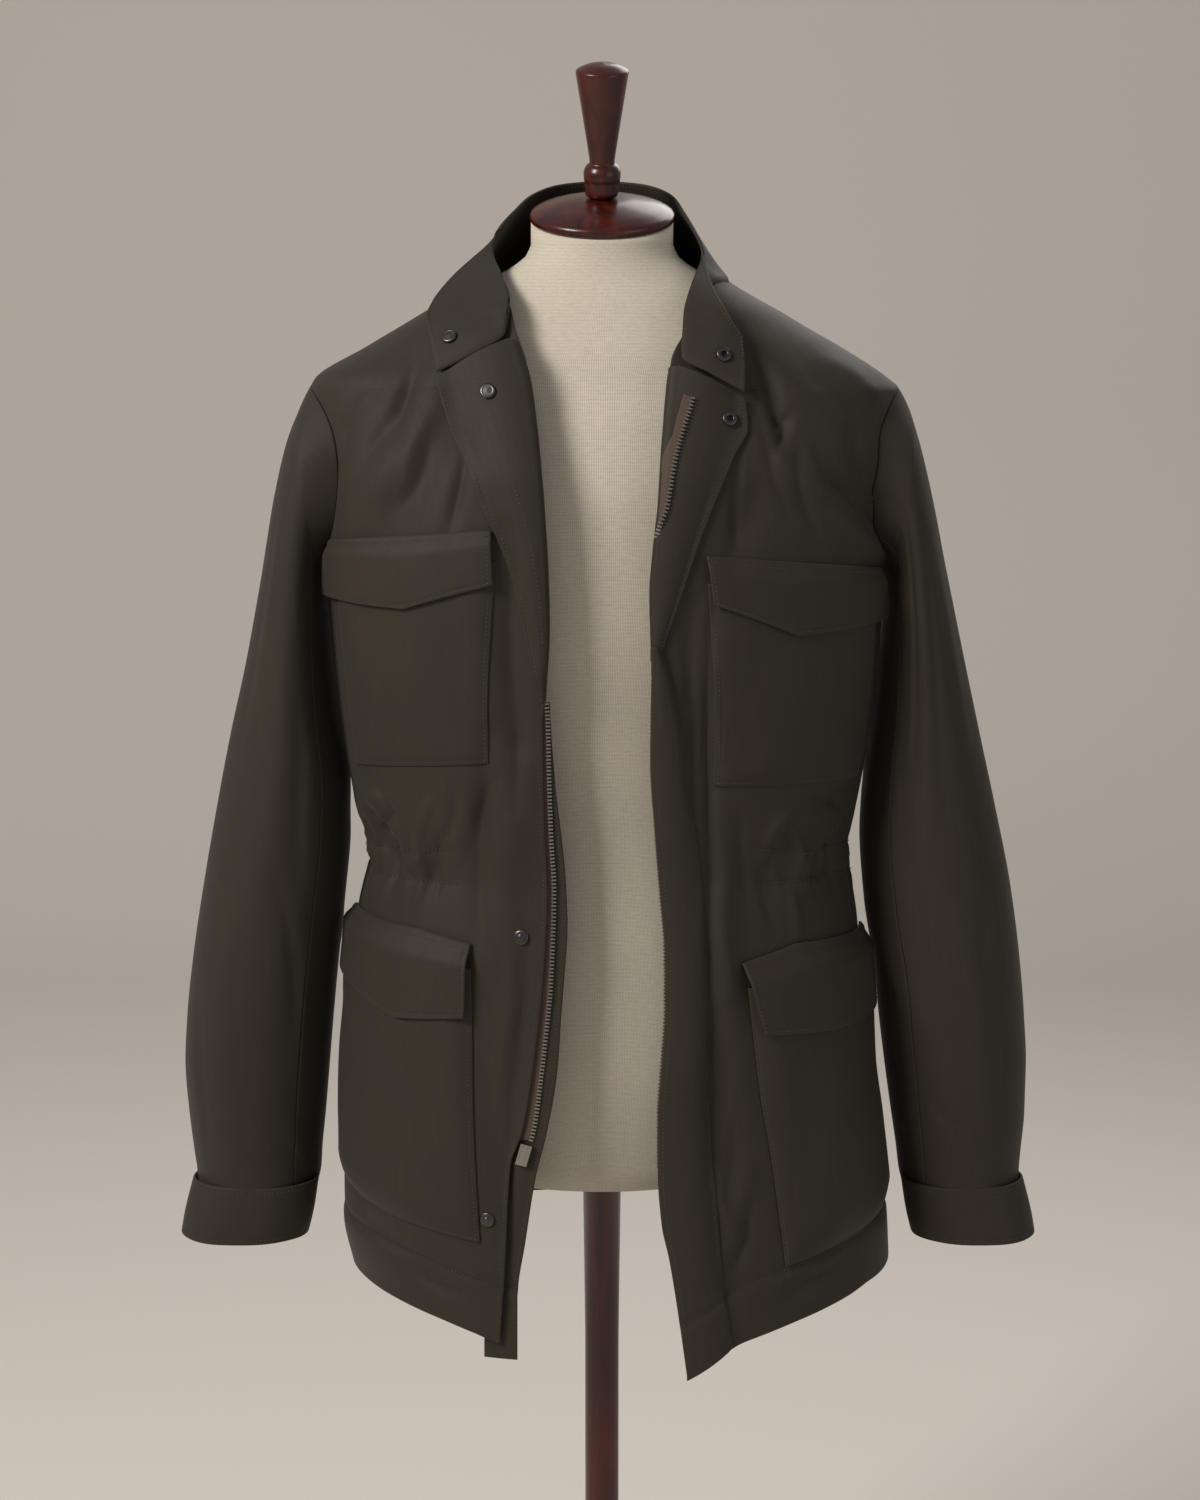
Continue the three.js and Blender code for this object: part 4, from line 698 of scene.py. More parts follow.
def hem_line(angle):
    """Height of the hem at an angle round the body."""
    turn = np.mod(angle + 180, 360) - 180
    sides = np.where(turn < 0, along(RIGHT_HEM, "z", -turn, "angle"), along(LEFT_HEM, "z", turn, "angle"))
    return np.where(np.abs(turn) > 90, HEM_LEVEL, sides)


def casing_line(line, angle):
    """Height of one of the two stitch lines that hold the waist cord."""
    return along(CASING, line, np.abs(np.mod(angle + 180, 360) - 180), "turn")


def sewn_height(angle, z):
    """Grooves that the stitch lines pull into the cloth, and the thicker turning of the hem."""
    turn = np.abs(np.mod(angle + 180, 360) - 180)
    above_hem = z - hem_line(angle) - HEM_TURN
    deep, wide = HEM_GROOVE
    height = HEM_THICK * smooth(-above_hem, 0, 3.5) - deep * np.exp(-((above_hem / wide) ** 2))
    deep, wide = CASING_GROOVE
    for line in ("high", "low"):
        height -= deep * smooth(turn, 31, 35) * np.exp(-(((z - casing_line(line, angle)) / wide) ** 2))
    return height


def cloth(angle, z, out=0.0):
    """Point of the cloth itself, moved out from its outer face."""
    point = outline(angle, z)
    cosine = cos_of(angle)
    calm = smooth(np.abs(cosine), 0, 0.2)
    x = point[..., 0]
    front = fold_height(FRONT_FOLDS, x, z) + fold_height(FRONT_CREASES, x, z)
    rear = fold_height(BACK_FOLDS, x, z) + fold_height(BACK_CREASES, x, z)
    height = calm * (np.where(cosine > 0, front, rear) + gather_height(angle, z)) + sewn_height(angle, z)
    return point + outward(angle, z) * (height + out)[..., None]


def front_point(side, x, z, out):
    return cloth(side * angle_of_x(side, x, z), z, out)


all_folds = (FRONT_FOLDS, FRONT_CREASES, BACK_FOLDS, BACK_CREASES)
print("folds and creases:", sum(len(folds["x1"]) for folds in all_folds))

# %% [markdown]
# ## Back and fronts
# The three panels are cut between lines: the inner edge of each front, the armhole, the side seam at 90
# degrees, the neck, and the hem. The rows run level down to the hem zone and then spread to meet the
# hem's own line. A turned hem is 45 mm deep, and its stitch line shows as a shallow groove.

# %% Back and fronts
RIGHT_EDGE = table(
    "z x", (640, 79), (700, 75), (781, 71), (812, 60.5), (852, 53.5), (887, 49), (927, 44.6), (998, 41),
    (1037, 42.6), (1091, 43.8), (1127, 44), (1145, 42), (1200, 40), (1248, 41.7), (1284, 44), (1321, 47),
    (1359, 50.6), (1391, 56), (1413, 64), (1432, 69), (1440, 75), (1448, 86), (1452, 94),
)
LEFT_EDGE = table(
    "z x", (617, 65), (669, 57.8), (713, 50.7), (739, 45.2), (782, 42), (821, 41.8), (870, 44.7),
    (905, 46.8), (950, 46.6), (994, 43.1), (1047, 38.8), (1099, 35.6), (1176, 36.3), (1217, 36.2),
    (1248, 37.6), (1284, 41.8), (1340, 46), (1367, 48), (1392, 51), (1415, 63), (1432, 73.5), (1440, 78),
    (1448, 86), (1452, 92),
)
NECK_HALF = table("z x", (1452, 91), (1459, 76), (1464, 52))
PLACKET_UNDER = 5.0
CLOTH_STEP = 3.4         # distance between rows and columns of a panel

armhole_rows = mix(UNDERARM, SHOULDER_TIP, 0.5 - 0.5 * np.cos(np.pi * lengthwise(44)[1:]))
lower_rows = np.concatenate([[HEM_LEVEL, 664.15, 664.4, 664.9], np.arange(666, UNDERARM, CLOTH_STEP)])
shoulder_rows = np.concatenate([np.arange(1373, 1446, 3.2), [1447.2, 1448.0, 1448.35, 1448.5]])
neck_rows = np.array([1449.6, 1451, 1452, 1454, 1456.5, 1459, 1461, 1462.6, 1463.4, 1463.8, 1464])


def row_height(level, hem):
    spread = HEM_ZONE - (HEM_ZONE - level) * (HEM_ZONE - hem) / (HEM_ZONE - HEM_LEVEL)
    return np.where(level >= HEM_ZONE, level, spread)


def front_edge_angle(side, z, level):
    edge = RIGHT_EDGE if side < 0 else LEFT_EDGE
    hidden = np.where(level < 1160, PLACKET_UNDER, 0) if side > 0 else 0
    return angle_of_x(side, along(edge, "x", z) + hidden, z)


def front_panel(side):
    hem = RIGHT_HEM if side < 0 else LEFT_HEM

    def point_at(level, u, out):
        reach = angle_of_depth(armhole_depth(level, ARMHOLE_FRONT), level, "front")
        first = mix(front_edge_angle(side, level, level), reach, u)
        z = row_height(level, along(hem, "z", first, "angle"))
        reach = angle_of_depth(armhole_depth(z, ARMHOLE_FRONT), z, "front")
        return cloth(side * mix(front_edge_angle(side, z, level), reach, u), z, out)

    return point_at


def back_edge_angle(side, z):
    seam = angle_of_depth(armhole_depth(z, ARMHOLE_BACK), z, "back")
    neck = angle_of_x(side, along(NECK_HALF, "x", z), z)
    return mix(seam, neck, np.clip((z - 1448.5) / (NECK_POINT - 1448.5), 0, 1))


def back_panel(z, u, out):
    return cloth(mix(180 - back_edge_angle(1, z), 180 + back_edge_angle(-1, z), u), z, out)


front_rows = np.concatenate([lower_rows, armhole_rows, shoulder_rows])
back_rows = np.concatenate([front_rows, neck_rows])
cloth_back = shell("cloth_back", back_panel, back_rows, fine(560, CLOTH_STEP), WALL, -WALL)
wear(cloth_back, "gathered", ["form_torso"])
for side, word in WORDS.items():
    piece = shell(f"cloth_front_{word}", front_panel(side), front_rows, fine(270, CLOTH_STEP), WALL, -WALL)
    wear(piece, "gathered", ["form_torso"])

# %% [markdown]
# ## Lapels
# The fronts are turned back at the top, so their inside shows. The turned part rolls over the front's
# edge: near the roll line each shell bends round in a half circle and ends behind the front, so no cut
# edge shows there. The middle of the lapel stands off the chest and its free edge lies close to it.

# %% Lapels
RIGHT_LAPEL = table(
    "i rollX rollZ edgeX edgeZ",
    (0, 63, 1407.5, 122, 1377.5), (1, 54.5, 1380, 112, 1342), (2, 49.5, 1345, 98, 1311),
    (3, 46, 1310, 87, 1284), (4, 43.5, 1275, 76, 1260), (5, 41.5, 1235, 62.5, 1218),
    (6, 40.5, 1190, 55, 1182), (7, 43, 1142, 47, 1140),
)
LEFT_LAPEL = table(
    "i rollX rollZ edgeX edgeZ",
    (0, 51, 1388.5, 105, 1363), (1, 48.5, 1367, 106.5, 1341), (2, 46.5, 1343, 97, 1322),
    (3, 44.5, 1318, 88, 1302), (4, 43, 1290, 80, 1283), (5, 40, 1262, 69.5, 1255), (6, 37, 1225, 57, 1217),
    (7, 37, 1195, 47.5, 1190), (8, 37, 1172, 41, 1170),
)
LAPELS = {-1: RIGHT_LAPEL, 1: LEFT_LAPEL}
LAPEL_SEAT = {-1: 1.4, 1: 1.0}
LAPEL_LOFT = 6.0
EDGE_INSET = 3.4         # a stitch line runs this far inside a folded edge
ROLL = 0.1               # share of the lapel's width that bends round the roll line
ROLL_BEHIND = -3.2       # and how far behind the front's face it ends


def lapel_place(side, down, across):
    rows = LAPELS[side]
    at = down * (len(rows["i"]) - 1)
    x = mix(along(rows, "rollX", at, "i"), along(rows, "edgeX", at, "i"), across)
    z = mix(along(rows, "rollZ", at, "i"), along(rows, "edgeZ", at, "i"), across)
    hump = np.clip(np.sin(np.pi * np.minimum(1, across * 1.15 + 0.05)), 0, 1) ** 0.8
    tucked = 4.4 * smooth(down, 0.92, 1.0)
    return x, z, LAPEL_SEAT[side] + LAPEL_LOFT * hump * (1 - 0.75 * down) - tucked


def lapel_point(side, down, across, out=0.0):
    """Point of the lapel: down is 0 at the collar seam, across is 0 at the roll line."""
    x, z, loft = lapel_place(side, down, across)
    x1, z1, loft1 = lapel_place(side, down, np.full_like(down * 1.0, ROLL))
    turn = np.pi * (1 - np.clip(across / ROLL, 0, 1))
    reach = x1 - lapel_place(side, down, np.zeros_like(down * 1.0))[0] + 1.2 * (1 - smooth(down, 0.75, 1))
    height = mix(ROLL_BEHIND, loft1, 0.5 + 0.5 * np.cos(turn))
    rolled = across < ROLL
    x = np.where(rolled, x1 - reach * np.sin(turn), x)
    z = np.where(rolled, z1, z)
    loft = np.where(rolled, height, loft)
    lift = np.where(rolled, np.cos(turn), 1.0) * out
    return front_point(side, x, z, loft + lift)


for side, word in WORDS.items():
    roll_columns = np.concatenate([np.linspace(0, ROLL, 12), np.linspace(ROLL + 0.02, 0.975, 20)[:-1],
                                   [0.962, 0.975, 0.985, 0.992, 0.997, 1.0]])
    rows_down = fine(250, 3.0)
    piece = shell(f"cloth_lapel_{word}", partial(lapel_point, side), rows_down,
                  np.unique(roll_columns), FOLDED_WALL, groove=((EDGE_INSET, 0.45),))
    wear(piece, "folded", [f"front_{word}"])

# %% [markdown]
# ## Collar
# A stand collar, opened wide. Each section runs from the neck seam over the pull of the roll to the free
# edge, as a curve with three control points, and the sections follow each other from the back of the
# neck to the two turned-out ends. It is folded cloth with a stitch line 3.4 mm inside its free edge.

# %% Collar
COLLAR_COLUMNS = "i seamX seamY seamZ pullX pullY pullZ topX topY topZ"
COLLAR_NAPE = ((0, 0, 86, 1465.2, 0, 80, 1498, 0, 66, 1528),
               (1, 38, 80.5, 1465.2, 37, 70, 1496, 33, 54, 1524))
RIGHT_COLLAR = table(
    COLLAR_COLUMNS, *COLLAR_NAPE,
    (2, 69, 62, 1462.5, 65, 48, 1488, 54, 30, 1515), (3, 89, 34, 1455.5, 81, 20, 1476, 66, 8, 1503),
    (4, 98, -1, 1450.5, 86, -8, 1467, 77, -8, 1491), (5, 92, -34, 1451, 75, -36, 1465, 88, -14, 1478),
    (6, 80, -60, 1446.5, 65, -62, 1457, 100, -24, 1467), (7, 69, -84, 1433, 64, -84, 1446, 111, -34, 1457),
    (8, 72, -102, 1413, 79, -94, 1430, 120, -46, 1447),
    (9, 96, -108, 1398, 105, -100, 1414, 127, -60, 1437),
    (10, 123, -109, 1385, 127, -98, 1402, 132, -74, 1426),
)
LEFT_COLLAR = table(
    COLLAR_COLUMNS, *COLLAR_NAPE,
    (2, 67, 62, 1462.5, 63, 48, 1488, 53, 30, 1515), (3, 87, 34, 1455.5, 78, 20, 1476, 62, 7, 1501),
    (4, 96, -1, 1450.5, 82, -8, 1466, 70, -12, 1486), (5, 90, -34, 1450.6, 70, -38, 1462, 77, -30, 1471),
    (6, 75, -62, 1443, 60, -66, 1453, 80, -50, 1457), (7, 61, -92, 1424, 57, -92, 1434, 84, -72, 1444),
    (8, 58, -114, 1398, 68, -110, 1410, 91, -92, 1430),
    (9, 80, -120, 1384.5, 87, -116, 1399, 98, -100, 1418),
    (10, 105, -122, 1371, 106, -117, 1388, 104, -102, 1409),
)
COLLARS = {-1: RIGHT_COLLAR, 1: LEFT_COLLAR}
COLLAR_FOOT = table("around share", (0, 0.09), (0.5, 0.09), (0.7, 0.05), (1, 0.045))
FOOT_DROP, FOOT_DRAW_IN = 60.0, 0.05     # how the part inside the neck seam goes down and in
COLLAR_HIGH, COLLAR_LONG = 62.0, 300.0   # size of each half


def collar_foot(around, rise):
    """The collar starts a share of its height inside the neck seam, as a seam allowance does."""
    return rise - (1 - rise) * along(COLLAR_FOOT, "share", np.abs(around), "around")


def collar_place(around, rise):
    """Point of the collar's face: around is -1 to 1 along it, rise is 0 at the seam and 1 at the edge."""
    foot, rise = np.minimum(rise, 0), np.maximum(rise, 0)
    at = np.abs(around) * 10
    point = []
    for axis in "XYZ":
        right, left = ([along(COLLARS[side], part + axis, at, "i") for part in ("seam", "pull", "top")]
                       for side in (-1, 1))
        low, pull, top = (np.where(around < 0, *pair) for pair in zip(right, left))
        point.append((1 - rise) ** 2 * low + 2 * rise * (1 - rise) * pull + rise * rise * top)
    point[0] = np.where(around < 0, -1, 1) * point[0]
    draw_in = 1 + FOOT_DRAW_IN * foot
    return place(point[0] * draw_in, point[1] * draw_in, point[2] + FOOT_DROP * foot)


def collar_point(rise, around, out=0.0):
    """Point of the collar. Out is towards the neck, the face that shows on the turned-out ends."""
    step = 0.02
    before, after = np.clip(around - step, -1, 1), np.clip(around + step, -1, 1)
    below, above = np.clip(rise - step, -1, 1), np.clip(rise + step, -1, 1)
    sideways = collar_place(after, rise) - collar_place(before, rise)
    up = collar_place(around, above) - collar_place(around, below)
    return collar_place(around, rise) + unit(np.cross(sideways, up)) * np.asarray(out)[..., None]


cloth_collar = shell(
    "cloth_collar", lambda r, a, out: collar_point(collar_foot(a, r), a, np.full_like(r, out)),
    fine(66, 2.6), 2 * fine(620, 4.0) - 1, FOLDED_WALL, -FOLDED_WALL, groove=((EDGE_INSET, 0.4),),
)
wear(cloth_collar, "folded", ["back"])

# %% [markdown]
# ## Sleeves and cuffs
# Each sleeve has two pieces, a wide top sleeve and a narrow under sleeve, round slanted rings. The first
# ring is the armhole itself, so that the sleeve head starts where the body panels end. Its folds are long
# and soft, and a sharper one sinks beside the body under each arm. They are placed by degrees round the
# sleeve, from its outer line over the front, and by height. The cuffs are folded bands a little wider.

# %% Sleeves
SLEEVE_COLUMNS = "i outX outZ inX inZ front back"
RIGHT_SLEEVE = table(
    SLEEVE_COLUMNS,
    (0, 234, 1354, 219.5, 1217, -75, 82), (1, 244, 1330, 220, 1200, -75, 82),
    (2, 256, 1283, 218.5, 1176, -75, 80), (3, 267, 1222, 216, 1145, -74, 77),
    (4, 281, 1153, 210.5, 1100, -73, 73), (5, 294, 1100, 203.5, 1058, -73, 69),
    (6, 306, 1045, 202.5, 1015, -74, 65), (7, 320, 974, 208, 957, -74, 59),
    (8, 330, 915, 214, 905, -73, 52), (9, 336, 868, 218.5, 862, -71, 45),
    (10, 339, 823, 222.5, 820, -68, 37), (11, 337, 785, 226, 783, -63, 30),
    (12, 334, 752, 229.5, 751, -57, 24), (13, 332, 732, 231, 732, -54, 22),
    (14, 335, 711, 237, 711, -52.5, 20.5),
)
LEFT_SLEEVE = table(
    SLEEVE_COLUMNS,
    (0, 239, 1350, 225.5, 1217, -75, 82), (1, 247, 1325, 226, 1200, -75, 82),
    (2, 258, 1282, 225, 1176, -75, 80), (3, 271, 1222, 222, 1145, -74, 77),
    (4, 286, 1155, 217.5, 1100, -73, 73), (5, 299, 1100, 211.5, 1058, -73, 69),
    (6, 313, 1042, 207.5, 1015, -74, 65), (7, 328, 974, 212, 957, -74, 59),
    (8, 337, 915, 221, 905, -73, 52), (9, 342, 868, 225.5, 862, -71, 45),
    (10, 345, 823, 231, 820, -68, 37), (11, 345, 785, 236.5, 783, -63, 30),
    (12, 343, 752, 241.5, 751, -57, 24), (13, 342, 732, 244, 732, -54, 22),
    (14, 345, 711, 250, 711, -52.5, 20.5),
)
SLEEVES = {-1: RIGHT_SLEEVE, 1: LEFT_SLEEVE}
SLEEVE_SQUARE = 2.15
SLEEVE_IN = 0.4          # the sleeve head starts this far inside the panels
HEAD_STEP = 0.05         # a short way down from the first ring, to read its direction
SLEEVE_STATIONS, CUFF_STATION = 15, 13   # the last place along a sleeve, and its row at the cuff
SLEEVE_FOLDS = {
    -1: table(
        FOLD_COLUMNS,
        (128, 1296, 138, 1206, 6, -4.5, 2, 1.8), (70, 1330, 62, 1120, 9, 1.2, 5, 2),
        (52, 1260, 46, 1060, 8, -1.3, 4, 2), (88, 1180, 84, 960, 10, 1.4, -4, 2),
        (108, 1120, 112, 980, 8, -1.6, 3, 2), (96, 990, 124, 868, 6, -1.8, -5, 1.8),
        (66, 960, 76, 800, 9, 1.3, 5, 2), (128, 930, 136, 800, 8, 1.6, 3, 2),
        (40, 900, 52, 760, 8, -1.2, -4, 2), (20, 1240, 24, 1000, 12, 1.2, 0, 2),
        (-20, 1300, -34, 1080, 12, -1.6, 4, 2), (-50, 1180, -70, 930, 12, 1.8, -5, 2),
        (-86, 1260, -70, 1060, 9, -2.2, 5, 1.9), (214, 1190, 250, 1080, 8, -2.6, 6, 1.8),
        (240, 1060, 196, 980, 7, -2.0, -6, 1.8), (190, 940, 226, 880, 7, 1.6, 5, 1.8),
        (-40, 930, -20, 790, 9, -1.4, 4, 2), (120, 790, 146, 742, 7, 1.2, 0, 2),
        (198, 1215, 202, 1050, 16, 5.0, 0, 2),
    ),
    1: table(
        FOLD_COLUMNS,
        (124, 1296, 142, 1180, 6, -5.0, 4, 1.8), (108, 1300, 112, 1080, 6, 2.0, 3, 1.9),
        (97, 1290, 101, 1060, 5, -1.8, 2, 1.9), (86, 1270, 92, 1030, 6, 1.4, -2, 1.9),
        (74, 1250, 82, 1040, 6, -1.4, -3, 1.9), (54, 1260, 50, 1100, 9, 1.2, 4, 2),
        (128, 1100, 132, 900, 8, 1.8, 3, 2), (112, 1060, 116, 880, 7, -1.8, 4, 1.9),
        (90, 990, 76, 840, 9, 1.3, 5, 2), (60, 1000, 64, 800, 9, -1.2, -4, 2),
        (118, 812, 96, 786, 5, -1.8, -3, 1.7), (20, 1220, 26, 980, 12, 1.2, 0, 2),
        (-24, 1290, -36, 1070, 12, -1.6, 4, 2), (-54, 1170, -72, 940, 12, 1.8, -5, 2),
        (-84, 1250, -72, 1050, 9, -2.2, 5, 1.9), (216, 1200, 248, 1090, 8, -2.6, 6, 1.8),
        (238, 1050, 198, 970, 7, -2.0, -6, 1.8), (192, 930, 228, 870, 7, 1.6, 5, 1.8),
        (-36, 920, -22, 800, 9, -1.4, 4, 2), (198, 1215, 202, 1050, 16, 5.0, 0, 2),
    ),
}
ROUND_A_DEGREE = 1.15    # millimetres round the sleeve for one degree
for folds in SLEEVE_FOLDS.values():
    folds["x1"] *= ROUND_A_DEGREE
    folds["x2"] *= ROUND_A_DEGREE


def sleeve_fold_height(side, turn, z):
    laps = [(turn + lap) * ROUND_A_DEGREE for lap in (-360, 0, 360)]
    return sum(fold_height(SLEEVE_FOLDS[side], round_at, z) for round_at in laps)


def armhole_point(side, turn):
    """Point beside the panels' edge round the armhole: turn is 0 at its top and 90 at the front."""
    z = mix(UNDERARM, SHOULDER_TIP, 0.5 + 0.5 * cos_of(turn))
    to_front = sin_of(turn) > 0
    front = angle_of_depth(armhole_depth(z, ARMHOLE_FRONT), z, "front")
    rear = 180 - angle_of_depth(armhole_depth(z, ARMHOLE_BACK), z, "back")
    return cloth(side * np.where(to_front, front, rear), z) - np.array([side * SLEEVE_IN, 0, 0])


def sleeve_ring(side, at, turn):
    rows = SLEEVES[side]
    cosine, sine = cos_of(turn), sin_of(turn)
    power = 2 / SLEEVE_SQUARE
    lower = 0.5 - 0.5 * bent(cosine, power)
    deep = np.where(sine > 0, -along(rows, "front", at, "i"), along(rows, "back", at, "i"))
    out_x, in_x = along(rows, "outX", at, "i"), along(rows, "inX", at, "i")
    out_z, in_z = along(rows, "outZ", at, "i"), along(rows, "inZ", at, "i")
    point = place(side * mix(out_x, in_x, lower), -bent(sine, power) * deep, mix(out_z, in_z, lower))
    return point, place(0.5 * side * (out_x + in_x), 0, 0.5 * (out_z + in_z))


def sleeve_point(side, down, turn, out=0.0):
    """Point of the sleeve: down is 0 at the armhole, 1 at the first ring and 15 inside the cuff."""
    ring, middle = sleeve_ring(side, np.maximum(down - 1, 0), turn)
    t = np.clip(down, 0, 1)[..., None]
    straight = armhole_point(side, turn)
    first, second = (sleeve_ring(side, np.full_like(down, at), turn)[0] for at in (0.0, HEAD_STEP))
    onward = (second - first) / HEAD_STEP
    head = mix(straight, ring, t) + (t * t - t) * 0.6 * (onward - (ring - straight))
    point = np.where(t < 1, head, ring)
    away = unit(point - middle)
    fade = smooth(down, 0, 1.4) * smooth(SLEEVE_STATIONS - down, 1, 2.2)
    height = fade * sleeve_fold_height(side, turn, point[..., 2])
    return point + away * (height + out)[..., None]


SLEEVE_PARTS = {"top_sleeve": (-103.0, 129.0), "under_sleeve": (129.0, 257.0)}         # degrees round
for side, word in WORDS.items():
    for part, (start, end) in SLEEVE_PARTS.items():
        turns = mix(start + 0.2, end - 0.2, fine((end - start) * ROUND_A_DEGREE, CLOTH_STEP))
        stations = SLEEVE_STATIONS * fine(640, CLOTH_STEP)
        piece = shell(f"cloth_{part}_{word}", partial(sleeve_point, side), stations, turns, WALL, -WALL)
        wear(piece, "hung", [f"front_{word}"])

# %% Cuffs
CUFF_TOP, CUFF_BOTTOM, CUFF_KICK = 731.6, 684.0, 11.0    # the kick moves its lower edge outwards
CUFF_INSET = 4.0
FLARE = table("z more", (684, 1.5), (700, 2), (731.6, 0.5))


def cuff_point(side, z, turn, out=0.0):
    rows = SLEEVES[side]
    out_x, in_x, front, back = (rows[name][CUFF_STATION] for name in ("outX", "inX", "front", "back"))
    kick = CUFF_KICK * (CUFF_TOP - z) / (CUFF_TOP - CUFF_BOTTOM)
    reach = along(FLARE, "more", z) + out
    uneven = 0.5 * sin_of(turn * 3 + z * 2) + 0.3 * sin_of(turn * 7 + 40)
    across, deep = (0.5 * wide + reach + uneven for wide in (out_x - in_x, back - front))
    power = 2 / SLEEVE_SQUARE
    x = 0.5 * (out_x + in_x) + kick + across * bent(cos_of(turn), power)
    return place(side * x, 0.5 * (front + back) - deep * bent(sin_of(turn), power), z)


for side, word in WORDS.items():
    piece = shell(
        f"cloth_cuff_{word}", partial(cuff_point, side),
        mix(CUFF_TOP, CUFF_BOTTOM, fine(47.6, 2.2)), 360 * lengthwise(120)[:-1], FOLDED_WALL, -FOLDED_WALL,
        wraps=True, groove=((CUFF_INSET, 0.3),),
    )
    wear(piece, "folded", [f"top_sleeve_{word}"])

# %% [markdown]
# ## Pockets and flaps
# The chest pockets lie flat on the fronts. The lower pockets stand off them, because they are cut with
# extra depth for bulky things. Each has a flap that is sewn down along its top and hangs over the mouth,
# with a blunt point in its lower edge. Corners are placed by angle round the body and by height.

# %% Pockets and flaps
POCKET_SIZE = {"chest": (150, 160), "lower": (210, 215)}       # width and height
FLAP_TALL = 60.0
CORNER_COLUMNS = "topInA topInZ topOutA topOutZ lowInA lowInZ lowOutA lowOutZ puff"
POCKETS = {
    ("chest", -1): table(CORNER_COLUMNS, (17, 1246, 66, 1236, 21, 1094, 67, 1081, 1.2)),
    ("chest", 1): table(CORNER_COLUMNS, (16.5, 1230, 70, 1212, 20.2, 1077, 70.5, 1070, 1.2)),
    ("lower", -1): table(CORNER_COLUMNS, (27, 936, 87, 938, 23.2, 721, 86, 746, 4.5)),
    ("lower", 1): table(CORNER_COLUMNS, (29, 920, 87, 922, 34.4, 697, 86, 722, 4.5)),
}
FLAP_COLUMNS = "at topA topZ lowA lowZ"
FLAPS = {
    ("chest", -1): table(FLAP_COLUMNS, (0, 17.6, 1269, 17.4, 1229), (0.5, 36.4, 1263.5, 38, 1209),
                         (1, 68, 1255, 75, 1212)),
    ("chest", 1): table(FLAP_COLUMNS, (0, 16, 1250, 17.4, 1214.5), (0.5, 34.6, 1244, 36.6, 1189),
                        (1, 70, 1233, 77, 1194)),
    ("lower", -1): table(FLAP_COLUMNS, (0, 27, 955, 27.3, 898.5), (0.5, 42, 962, 46.6, 891),
                         (1, 82, 961, 88, 916)),
    ("lower", 1): table(FLAP_COLUMNS, (0, 27.5, 940, 31.5, 884), (0.5, 43, 950, 53, 878),
                        (1, 86, 943, 87, 876)),
}
FLAP_OVER = {"chest": 1.6, "lower": 5.0}
SAG = {"chest": 0.7, "lower": 1.6}       # soft unevenness of each pocket's face
POCKET_INSET, FLAP_INSET, FLAP_TOP_INSET = 2.6, 3.2, 6.0


def straight(columns, name, at):
    """Value of a column between its rows, along straight lines."""
    return np.interp(at, columns["at"], columns[name])


def pocket_point(kind, side, down, across, out=0.0):
    p = {key: value[0] for key, value in POCKETS[kind, side].items()}
    angle = mix(mix(p["topInA"], p["topOutA"], across), mix(p["lowInA"], p["lowOutA"], across), down)
    z = mix(mix(p["topInZ"], p["topOutZ"], across), mix(p["lowInZ"], p["lowOutZ"], across), down)
    rim = np.minimum(np.minimum(across, 1 - across), 1 - down) * 9
    puff = p["puff"] * np.clip(rim, 0, 1) ** 0.6
    soft = np.sin(across * 7 + side + down * 2) * np.sin(down * 5 + 1)
    soft += 0.5 * np.sin(across * 15 + down * 4)
    lift = mix(-0.7, LIFT, np.clip(rim * 2, 0, 1))
    return cloth(side * angle, z, lift + puff + SAG[kind] * soft * np.clip(rim, 0, 1) + out)


def flap_point(kind, side, down, across, out=0.0):
    rows = FLAPS[kind, side]
    angle = mix(straight(rows, "topA", across), straight(rows, "lowA", across), down)
    z = mix(straight(rows, "topZ", across), straight(rows, "lowZ", across), down)
    stand = LIFT + (FLAP_OVER[kind] + WALL + LIFT) * smooth(down, 0, 0.3)
    curl = 0.8 * np.sin(across * 6 + side) * down
    welt = 1.1 * np.exp(-((down - 0.055) / 0.035) ** 2) - 0.7 * np.exp(-((down / 0.02) ** 2))
    return cloth(side * angle, z, stand + curl + welt + out)


for kind, side in POCKETS:
    word = WORDS[side]
    wide, tall = POCKET_SIZE[kind]
    piece = shell(f"cloth_{kind}_pocket_{word}", partial(pocket_point, kind, side), fine(tall, 3.0),
                  fine(wide, 3.0), WALL, groove=((POCKET_INSET, 0.5),))
    wear(piece, "laid", [f"front_{word}"])
    piece = shell(f"cloth_{kind}_flap_{word}", partial(flap_point, kind, side), fine(FLAP_TALL, 1.8),
                  fine(wide, 2.8), FOLDED_WALL, groove=((FLAP_INSET, 0.45),))
    wear(piece, "laid", [f"{kind}_pocket_{word}"])

# %% [markdown]
# ## Front strips and zip tapes
# The left front carries a placket, a folded strip that hides its half of the zip. The right front ends
# at its zip, with a strip of cloth under it. All follow their front by height, a little in front of it
# or behind it. The left zip half goes on up the turned-back lapel, where its tape shows.

